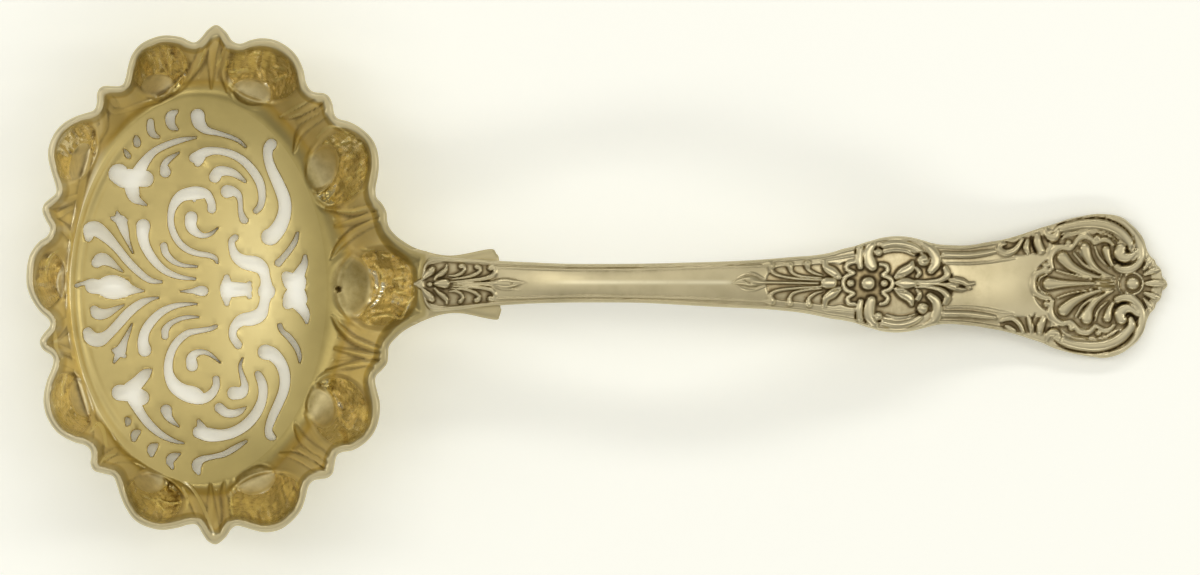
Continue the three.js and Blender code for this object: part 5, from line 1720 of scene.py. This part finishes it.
    def _pierce(self, foot: np.ndarray) -> Floor:
        """Lays the floor in flat triangles and leaves out the piercings.

        Args:
            foot: Places round the floor's edge.

        Returns:
            The floor.
        """
        strokes = (*PIERCINGS_UPPER_PIXELS, *PIERCINGS_LOWER_PIXELS)
        lines = [walk(stroke, self.hole_steps) for stroke in strokes]
        outlines = [self._outline(line, grow) for grow in self.hole_bands_pixels for line in lines]
        points, edges = [], []
        for loop in (foot, *(outline[self._floor_share(outline) < self.hole_share] for outline in outlines)):
            start, count = len(points), len(loop)
            points += loop.tolist()
            edges += [(start + k, start + (k + 1) % count) for k in range(count)]
        points += self._loose_places(foot).tolist()
        corners = [Vector(point) for point in points]
        made, _, faces, *_ = delaunay_2d_cdt(corners, edges, [], 0, self.join_pixels, False)
        at = np.array([[p.x, p.y] for p in made])
        triangles = np.array([face for face in faces if len(face) == 3])
        middle = at[triangles].mean(1)
        gap = np.minimum.reduce([reach(line, at)[1] for line in lines])
        middle_gap = np.minimum.reduce([reach(line, middle)[1] for line in lines])
        (x0, y0), (x1, y1), (x2, y2) = (at[triangles[:, k]].T for k in range(3))
        area = (x1 - x0) * (y2 - y0) - (x2 - x0) * (y1 - y0)
        kept = (middle_gap > 0) & (np.abs(area) > self.least_area_pixels)
        triangles, area = triangles[kept], area[kept]
        triangles[area > 0] = triangles[area > 0][:, ::-1]
        return Floor(at, triangles, gap)

    def _floor_faces(self, floor: Floor, upper: int, lower: int) -> Faces:
        """Faces of the floor's two sides and of the piercings' edges.

        Args:
            floor: The floor.
            upper: Number of the upper side's first point.
            lower: Number of the lower side's first point.

        Returns:
            Corner numbers of each face.
        """
        faces = (floor.triangles + upper).tolist() + (floor.triangles[:, ::-1] + lower).tolist()
        directed = {(int(t[k]), int(t[(k + 1) % 3])) for t in floor.triangles for k in range(3)}
        for a, b in directed:
            if (b, a) not in directed and self._floor_share(floor.at[[a, b]]).max() < self.edge_share:
                faces.append((upper + b, upper + a, lower + a, lower + b))
        return faces

    def _floor_points(self, floor: Floor) -> tuple[np.ndarray, np.ndarray]:
        """Gives the floor its dish, its thickness and the softened edges of its piercings.

        Args:
            floor: The floor.

        Returns:
            Rows of x, y, z in metres for its upper and its lower side.
        """
        radius = self.hole_bands_pixels[-1]
        inward = np.clip((radius - floor.gap) / radius, 0, 1)
        drop = radius * self.plan.pixel * (1 - np.sqrt(np.clip(1 - inward**2, 0, 1)))
        level = self._floor_height(floor.at)
        under = level - self.sheet + self.under_drop * drop
        return self.plan.place(floor.at, level - drop), self.plan.place(floor.at, under)

    def _tang(self) -> tuple[np.ndarray, Faces]:
        """Makes the flat tang with its ears, its edges rounded over.

        Returns:
            Rows of x, y, z in metres, and faces.
        """
        edge = walk([(x, y, 1.0) for x, y in TANG_PIXELS], 5)[:, :2]
        toward = np.stack([edge[:, 0], np.full(len(edge), AXIS_PIXEL)], 1) - edge
        length = np.hypot(*toward.T)[:, None]
        outer = smooth(*self.tang_end_pixels, edge[:, 0])[:, None]
        top = self.depth - self.tang_gap
        base = self.depth - self.tang_thickness
        rings = [self.plan.place(edge, np.full(len(edge), base))]
        for inset, height in ((0.0, base + 0.3), (0.0, base + 1.1), (0.5, base + 1.35), (1.6, top), (8, top)):
            inner = edge + toward / np.maximum(length, SMALL) * np.minimum(inset, length * 0.95)
            inner = inner - np.array([min(inset, 3.0), 0]) * outer
            rings.append(self.plan.place(inner, np.full(len(inner), height)))
        return np.vstack(rings), bar_faces(len(rings), len(edge))

    def _shade(self, at: np.ndarray) -> np.ndarray:
        """Painted shade on the floor's gilding, darker toward the edge and most on the handle's side."""
        side = 0.1 + 0.48 * smooth(90, 250, at[:, 0])
        return 0.36 + smooth(0.35, 1.0, self._floor_share(at)) * side

    def _wall_shade(self, wall: Wall, oval: np.ndarray) -> np.ndarray:
        """Paints shade on the wall's foot and its smooth ovals, and darkens the bare silver of its rim.

        Args:
            wall: The inside of the wall.
            oval: The mask of the smooth ovals at its places.

        Returns:
            Shares from 0 to 1.
        """
        x, y = wall.at.T
        toward_neck = smooth(350, 410, x)
        bare = 0.34 + 0.3 * toward_neck + 0.26 * smooth(1.5, 4.5, wall.from_rim)
        bare *= smooth(13, 9, wall.from_rim - 6 * toward_neck)
        bare *= 0.6 + 0.4 * smooth(70, 150, x)
        # Painted shade on the smooth ovals, most on the neck's
        neck_oval = oval * (x > 325) * (np.abs(y - AXIS_PIXEL) < 30)
        painted_oval_shade = (0.12 + 0.2 * smooth(160, 230, x) + 0.2 * smooth(250, 330, x)) * oval + 0.26 * neck_oval
        # Less painted shade toward the left
        wear_and_light = 1 - 0.85 * smooth(130, 85, x)
        return np.maximum.reduce([self._shade(wall.at) * smooth(0.5, 0.95, wall.down) * wear_and_light, painted_oval_shade, bare])

    def _masks(self, wall: Wall, floor: Floor, chasing: Chasing) -> dict[str, dict[Part, Values]]:
        """Collects what the gilding has to know of each point.

        Args:
            wall: The inside of the wall.
            floor: The floor.
            chasing: The wall's relief and masks.

        Returns:
            For each mask its values on the parts where it isn't 0.
        """
        oval = chasing.relief.sample(chasing.oval, wall.at)
        fading = (chasing.chased, chasing.fold, chasing.hollow)
        chased, fold, hollow = (chasing.relief.sample(mask, wall.at) * wall.fade for mask in fading)
        off_tang = 1 - 0.85 * smooth(408, 428, wall.at[:, 0])
        gilt = smooth(7.5, 12, wall.from_rim) * off_tang * (1 - 0.1 * oval)
        shade = self._wall_shade(wall, oval)
        near_hole = 0.25 * np.clip(1 - floor.gap / 3, 0, 1)
        return {
            "gilt": {Part.INSIDE: gilt, Part.FLOOR: 0.9, Part.UNDERFLOOR: 0.25},
            "glow": {Part.FLOOR: self.glow.over(*floor.at.T)},
            # Painted shade on the floor and the wall's foot and ovals; the same mask darkens the rim's silver
            # and the tang
            "shade": {Part.INSIDE: shade, Part.FLOOR: self._shade(floor.at), Part.TANG: 0.6},
            "oval": {Part.INSIDE: oval},
            "fold": {Part.INSIDE: fold},
            "chased": {Part.INSIDE: chased},
            "hollow": {Part.INSIDE: hollow, Part.OUTSIDE: 0.1, Part.FLOOR: near_hole, Part.UNDERFLOOR: 0.15},
        }

    def build(self) -> bpy.types.Object:
        """Makes the whole bowl as one piece.

        Returns:
            The bowl.
        """
        rim = self._rim()
        foot = self._foot(rim)
        chasing = self._chase()
        wall = self._inside(rim, foot, chasing.relief)
        outside = self._outside(rim, foot, chasing.relief)
        floor = self._pierce(foot)
        upper, lower = self._floor_points(floor)
        tang, tang_faces = self._tang()
        parts = dict(zip(Part, (wall.points, outside, upper, lower, tang)))
        ends = np.cumsum([len(points) for points in parts.values()]).tolist()
        start = dict(zip(Part, (0, *ends)))
        count, low = self.columns, start[Part.OUTSIDE]
        faces = [face[::-1] for face in ring_faces(len(wall.points) // count, count)]
        faces += ring_faces(len(outside) // count, count, low)
        faces += [(c, (c + 1) % count, low + (c + 1) % count, low + c) for c in range(count)]
        faces += self._floor_faces(floor, start[Part.FLOOR], start[Part.UNDERFLOOR])
        faces += [tuple(start[Part.TANG] + corner for corner in face) for face in tang_faces]
        piece = make_piece("pierced_bowl", np.vstack(list(parts.values())), faces, "bowl")
        for name, values in self._masks(wall, floor, chasing).items():
            whole = [np.broadcast_to(values.get(part, 0.0), len(points)) for part, points in parts.items()]
            set_attribute(piece, name, np.concatenate(whole))
        return piece

    def dress(self, piece: bpy.types.Object) -> None:
        """Gives the bowl its gilding."""
        piece.data.materials.append(GiltFinish().material())


@dataclass
class Handle:
    """The struck handle. Lengths are in millimetres unless named pixels.

    A stretch is a first and a last cross section, in pixels, and their number. The painted shades lie on the
    volutes and the stem, those of the grounds round the flower, and the wear with its painted sheen is on the
    waist and the flower.
    """

    plan: Plan
    seat: float = 14.08
    arch_rise: float = 6.0
    seat_thickness: float = 2.0
    stem_thickness: float = 3.0
    end_thickness: float = 2.3
    seat_end_pixel: float = 502.0
    start_pixel: float = 416.3
    end_pixel: float = 1166.5
    stretches: tuple[tuple[float, float, int], ...] = (
        (416.3, 526, 100), (530, 724, 50), (728, 1030, 265), (1031, 1166.5, 135),
    )
    across: int = 128
    under_across: int = 24
    edge_round_pixels: float = 2.6
    edge_share: float = 0.72
    dome_share: float = 0.12
    chamfer_pixels: float = 2.2
    chamfer_share: float = 0.45
    groove_depth: float = 0.14
    groove_pixels: Pair = (5.5, 9)
    groove_half_pixels: float = 0.9
    raster_pixels: tuple[Pair, Pair] = ((412, 208), (1172, 362))
    ground_depth: float = 0.2
    form_height: float = 0.42
    form_slope: float = 0.1
    line_height: float = 0.22
    line_slope: float = 0.1
    cut_depth: float = 0.22
    under_hollow: float = 0.06
    hollow_reach: Pair = (1.3, 0.78)
    cut_shade: float = 0.24
    shell_root: Patch = Patch(0.65, (1103, 284), (11, 9))
    # Painted shade over the waist and the stem
    painted_shades: tuple[Patch, ...] = (
        Patch(0.18, (968, AXIS_PIXEL), (30, FAR)), Patch(0.1, (620, AXIS_PIXEL), (90, FAR)),
    )
    # Painted shade on the grounds round the flower
    ground_painted_shades: tuple[Patch, ...] = (
        Patch(0.12, (893, 284), (50, 34), 4), Patch(0.22, (865, 284.6), (17, 17), 4),
    )
    # Wear with painted sheen on the waist and the flower
    wear_and_sheen: tuple[Patch, ...] = (
        Patch(0.06, (1005, 284), (22, 9)), Patch(0.16, (872, AXIS_PIXEL), (80, FAR), 4),
    )

    def _stations(self) -> np.ndarray:
        """Pixel places of the cross sections, close where there is ornament."""
        return np.concatenate([np.linspace(*stretch) for stretch in self.stretches])

    def _edges(self, x: np.ndarray) -> tuple[np.ndarray, np.ndarray]:
        """Reads the outline.

        Args:
            x: Pixel places of the cross sections.

        Returns:
            Pixel places of the upper and the lower edge.
        """
        dense = walk(HANDLE_PIXELS, 5)
        along = np.maximum.accumulate(dense[:, 0])
        return np.interp(x, along, dense[:, 1]), np.interp(x, along, dense[:, 2])

    def _back(self, x: np.ndarray) -> np.ndarray:
        """Shapes the handle's back: level on the tang, then an arch that runs out flat.

        Args:
            x: Pixel places of the cross sections.

        Returns:
            Heights in millimetres.
        """
        share = np.clip((x - self.seat_end_pixel) / (self.end_pixel - self.seat_end_pixel), 0, 1)
        arch = share**2 * (1 - share) ** 4 / ((1 / 3) ** 2 * (2 / 3) ** 4)
        return self.seat * (1 - smooth(0, 1, share)) + self.arch_rise * arch

    def _thickness(self, x: np.ndarray) -> np.ndarray:
        """Shapes the bar's thickness, most in the stem.

        Args:
            x: Pixel places of the cross sections.

        Returns:
            Thicknesses in millimetres.
        """
        along = (x - self.start_pixel) * self.plan.pixel
        seat_end = (self.seat_end_pixel - self.start_pixel) * self.plan.pixel
        length = (self.end_pixel - self.start_pixel) * self.plan.pixel
        growth = smooth(seat_end * 0.6, seat_end * 2, along)
        root = self.seat_thickness + (self.stem_thickness - self.seat_thickness) * growth
        return root + (self.end_thickness - root) * smooth(length * 0.5, length, along)

    def _carve(self) -> tuple[Relief, np.ndarray]:
        """Strikes the ornament of the face.

        Returns:
            The relief, and on its raster where tarnish and painted shade darken the metal, from 0 to 1.
        """
        relief = Relief(*self.raster_pixels)
        relief.clear(GROUND_PIXELS, self.ground_depth)
        relief.settle()
        relief.lift(FORM_PIXELS, self.form_height, self.form_slope, Datum.FACE)
        relief.lift(LINE_PIXELS, self.line_height, self.line_slope, Datum.FACE)
        relief.sink(CUT_PIXELS, self.cut_depth)
        xs, ys = np.meshgrid(relief.xs, relief.ys)
        sunk = smooth(-0.08, -0.19, relief.values)
        flat = smooth(0.1, 0.0, relief.values)
        # Painted shade over the stem, the waist and the flat grounds round the flower
        film_and_shade = sum(patch.over(xs, ys) for patch in self.painted_shades)
        film_and_shade += flat * sum(patch.over(xs, ys) for patch in self.ground_painted_shades)
        hollow = relief.hollows(*self.hollow_reach) + self.cut_shade * sunk
        return relief, np.clip(hollow * (1 - self.shell_root.over(xs, ys)) + film_and_shade, 0, 1)

    def _rubbed_highlight(self, at: np.ndarray) -> np.ndarray:
        """Finds where the metal is painted light, as wear and as highlight: the stem's ridge, which is a
        painted highlight, the waist, the flower and the end.

        Args:
            at: Places in pixels.

        Returns:
            Shares from 0 to 1.
        """
        x, y = at.T
        # A painted highlight along the stem's ridge
        ridge = hump(y, 282.4, 1.9) * smooth(540, 580, x) * smooth(733, 724, x)
        scroll = smooth(298, 312, y) * smooth(990, 1005, x) * smooth(1150, 1120, x)
        wear_and_light = 0.6 * ridge + 0.16 * smooth(1112, 1128, x) + 0.13 * scroll
        return wear_and_light + sum(patch.over(x, y) for patch in self.wear_and_sheen)

    def _top(self, x: np.ndarray, half: np.ndarray, shares: np.ndarray, carved: np.ndarray) -> np.ndarray:
        """Shapes the face: domed across, rounded at its edges, and carved.

        Args:
            x: Pixel places of the cross sections.
            half: Their half widths in pixels, in a column.
            shares: Shares of the way from the upper to the lower edge.
            carved: The relief at each place.

        Returns:
            Heights in millimetres, a row for each cross section.
        """
        offset = np.abs(2 * shares - 1)[None, :]
        inset = (1 - offset) * half
        radius = np.minimum(self.edge_round_pixels, half * 0.6)
        rounding = radius - np.sqrt(np.clip(radius**2 - np.clip(radius - inset, 0, None) ** 2, 0, None))
        dome = self.edge_share + self.dome_share * (1 - offset**2)
        surface = self._back(x)[:, None] + self._thickness(x)[:, None] * dome - rounding * self.plan.pixel
        return surface + carved * smooth(0, 1.5, inset)

    def _underside(self, x: np.ndarray, half: np.ndarray, shares: np.ndarray) -> np.ndarray:
        """Shapes the underside: flat, with chamfered edges and, past the seat, two grooves along each.

        Args:
            x: Pixel places of the cross sections.
            half: Their half widths in pixels, in a column.
            shares: Shares of the way from the upper to the lower edge.

        Returns:
            Heights in millimetres, a row for each cross section.
        """
        inset = (1 - np.abs(2 * shares - 1))[None, :] * half
        chamfer = self.chamfer_share * (1 - smooth(0, self.chamfer_pixels, inset))
        first, second = (hump(inset, middle, self.groove_half_pixels) for middle in self.groove_pixels)
        groove = self.groove_depth * (first + second) * (x > self.seat_end_pixel + 6)[:, None]
        return self._back(x)[:, None] + chamfer * self._thickness(x)[:, None] * 0.5 + groove

    def build(self) -> bpy.types.Object:
        """Makes the handle as one piece.

        Returns:
            The handle.
        """
        x = self._stations()
        upper, lower = (edge[:, None] for edge in self._edges(x))
        half = (lower - upper) / 2
        relief, hollow = self._carve()
        shares, back_shares = np.linspace(0, 1, self.across + 1), np.linspace(1, 0, self.under_across + 1)
        y, back_y = (upper + (lower - upper) * part[None, :] for part in (shares, back_shares))
        at = np.stack([np.repeat(x, len(shares)), y.ravel()], 1)
        top = self._top(x, half, shares, relief.sample(relief.values, at).reshape(y.shape))
        ring_y = np.concatenate([y, back_y], 1)
        ring_z = np.concatenate([top, self._underside(x, half, back_shares)], 1)
        places = np.stack([np.repeat(x, ring_y.shape[1]), ring_y.ravel()], 1)
        points = self.plan.place(places, ring_z.ravel())
        piece = make_piece("struck_handle", points, bar_faces(*ring_y.shape), "handle")
        for name, face, under in (
            ("hollow", relief.sample(hollow, at), self.under_hollow),
            ("rubbed", self._rubbed_highlight(at), 0.0),
        ):
            whole = np.concatenate([face.reshape(y.shape), np.full(back_y.shape, under)], 1)
            set_attribute(piece, name, whole.ravel())
        return piece

    def dress(self, piece: bpy.types.Object) -> None:
        """Gives the handle its polish."""
        piece.data.materials.append(SilverFinish().material())


@dataclass(frozen=True)
class SolderJoint:
    """The film of solder between the tang and the handle, which its CAD node shows as it is."""

    node: bpy.types.Object

    def build(self) -> bpy.types.Object:
        """Reports the CAD node and takes it as the piece."""
        log.info("%s: %d points, the CAD node as it is", self.node.name, len(self.node.data.vertices))
        return self.node

    def dress(self, piece: bpy.types.Object) -> None:
        """Gives the film its dull solder."""
        piece.data.materials.clear()
        piece.data.materials.append(SolderFinish().material())


@dataclass(frozen=True)
class Lamp:
    """A soft rectangular lamp, in metres, with its brightness as seen in a mirror."""

    name: str
    place: tuple[float, float, float]
    size: Pair
    radiance: float
    colour: tuple[float, float, float] = (1.0, 0.98, 0.94)

    def build(self) -> None:
        """Hangs the lamp so that it faces the spoon."""
        data = bpy.data.lights.new(self.name, "AREA")
        data.shape = "RECTANGLE"
        data.size, data.size_y = self.size
        data.energy = self.radiance * math.pi * self.size[0] * self.size[1]
        data.color = self.colour
        made = bpy.data.objects.new(self.name, data)
        made.location = self.place
        made.rotation_euler = (Vector() - Vector(self.place)).to_track_quat("-Z", "Y").to_euler()
        bpy.context.scene.collection.objects.link(made)


LAMPS = (
    Lamp("tent", (0.0, 0.0, 1.9), (2.0, 1.5), 0.44),
    Lamp("band", (-0.1, 0.28, 1.6), (2.4, 0.28), 0.56),
    Lamp("west", (-1.0, 0.25, 0.9), (0.2, 1.0), 3.6),
    Lamp("east", (1.15, 0.1, 0.9), (0.2, 1.0), 4.4),
    Lamp("north", (0.0, 1.0, 0.9), (1.3, 0.16), 4.8),
    Lamp("south", (0.1, -1.1, 0.9), (1.5, 0.2), 3.2),
)


@dataclass(frozen=True)
class Studio:
    """Pale table, soft lamps and the camera above. Lengths are in metres, the sensor in millimetres."""

    plan: Plan
    table_half: float = 3.0
    table_drop: float = 0.0001
    centre_pixel: Pair = (600.0, 287.5)
    camera_height: float = 1.2
    camera_reach: float = 20
    sensor: float = 36.0
    room: float = 0.38
    air: Colour = (1.0, 0.98, 0.94, 1)
    paper: Colour = (0.86, 0.85, 0.80, 1)
    seen: Colour = (1.19, 1.203, 1.13, 1)

    def _table_material(self) -> bpy.types.Material:
        """Makes a white table that the camera sees pale and that keeps the spoon's shadow.

        Returns:
            The material.
        """
        shader = Shader("pale_table")
        rays = ("Is Camera Ray", "Is Glossy Ray", "Is Transmission Ray")
        camera, mirror, through = (shader.node("ShaderNodeLightPath", {}, {}, ray) for ray in rays)
        seen = shader.node("ShaderNodeBsdfDiffuse", {}, {"Color": self.seen})
        true = shader.node("ShaderNodeBsdfDiffuse", {}, {"Color": self.paper})
        settings = {"operation": "ADD", "use_clamp": True}
        direct = shader.node("ShaderNodeMath", settings, {0: camera + mirror, 1: through})
        return shader.finish(shader.node("ShaderNodeMixShader", {}, {0: direct, 1: true, 2: seen}))

    def _table(self) -> None:
        """Lays the table just under the spoon."""
        mesh = bpy.data.meshes.new("table")
        half = self.table_half
        corners = [(-half, -half, 0), (half, -half, 0), (half, half, 0), (-half, half, 0)]
        mesh.from_pydata(corners, [], [(0, 1, 2, 3)])
        table = bpy.data.objects.new("table", mesh)
        table.location.z = -self.table_drop
        bpy.context.scene.collection.objects.link(table)
        table.data.materials.append(self._table_material())

    def _room(self) -> None:
        """Fills the room with faint, even light."""
        world = bpy.data.worlds.new("room")
        world.use_nodes = True
        inputs = world.node_tree.nodes["Background"].inputs
        inputs[0].default_value = self.air
        inputs[1].default_value = self.room
        bpy.context.scene.world = world

    def _camera(self) -> None:
        """Hangs the camera so that its picture has the photograph's frame."""
        data = bpy.data.cameras.new("camera")
        data.sensor_width = self.sensor
        data.lens = self.sensor * self.camera_height / (PHOTO_WIDTH_PIXELS * self.plan.scale)
        data.clip_end = self.camera_reach
        camera = bpy.data.objects.new("camera", data)
        x, y, _ = self.plan.place(np.array([self.centre_pixel]), np.zeros(1))[0]
        camera.location = (x, y, self.camera_height)
        bpy.context.scene.collection.objects.link(camera)
        bpy.context.scene.camera = camera

    def build(self) -> None:
        """Makes the table, the world, the lamps and the camera."""
        bpy.context.scene.view_settings.view_transform = "Standard"
        self._table()
        self._room()
        for lamp in LAMPS:
            lamp.build()
        self._camera()


def main() -> None:
    """Builds the spoon and its table, and reports each piece."""
    logging.basicConfig(level=logging.INFO, format="%(name)s %(message)s")
    plan = Plan.over(*CAD_BOX)
    for maker in (Bowl(plan), Handle(plan), SolderJoint(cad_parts["solder_joint"])):
        maker.dress(maker.build())
    Studio(plan).build()


if __name__ == "__main__":
    main()
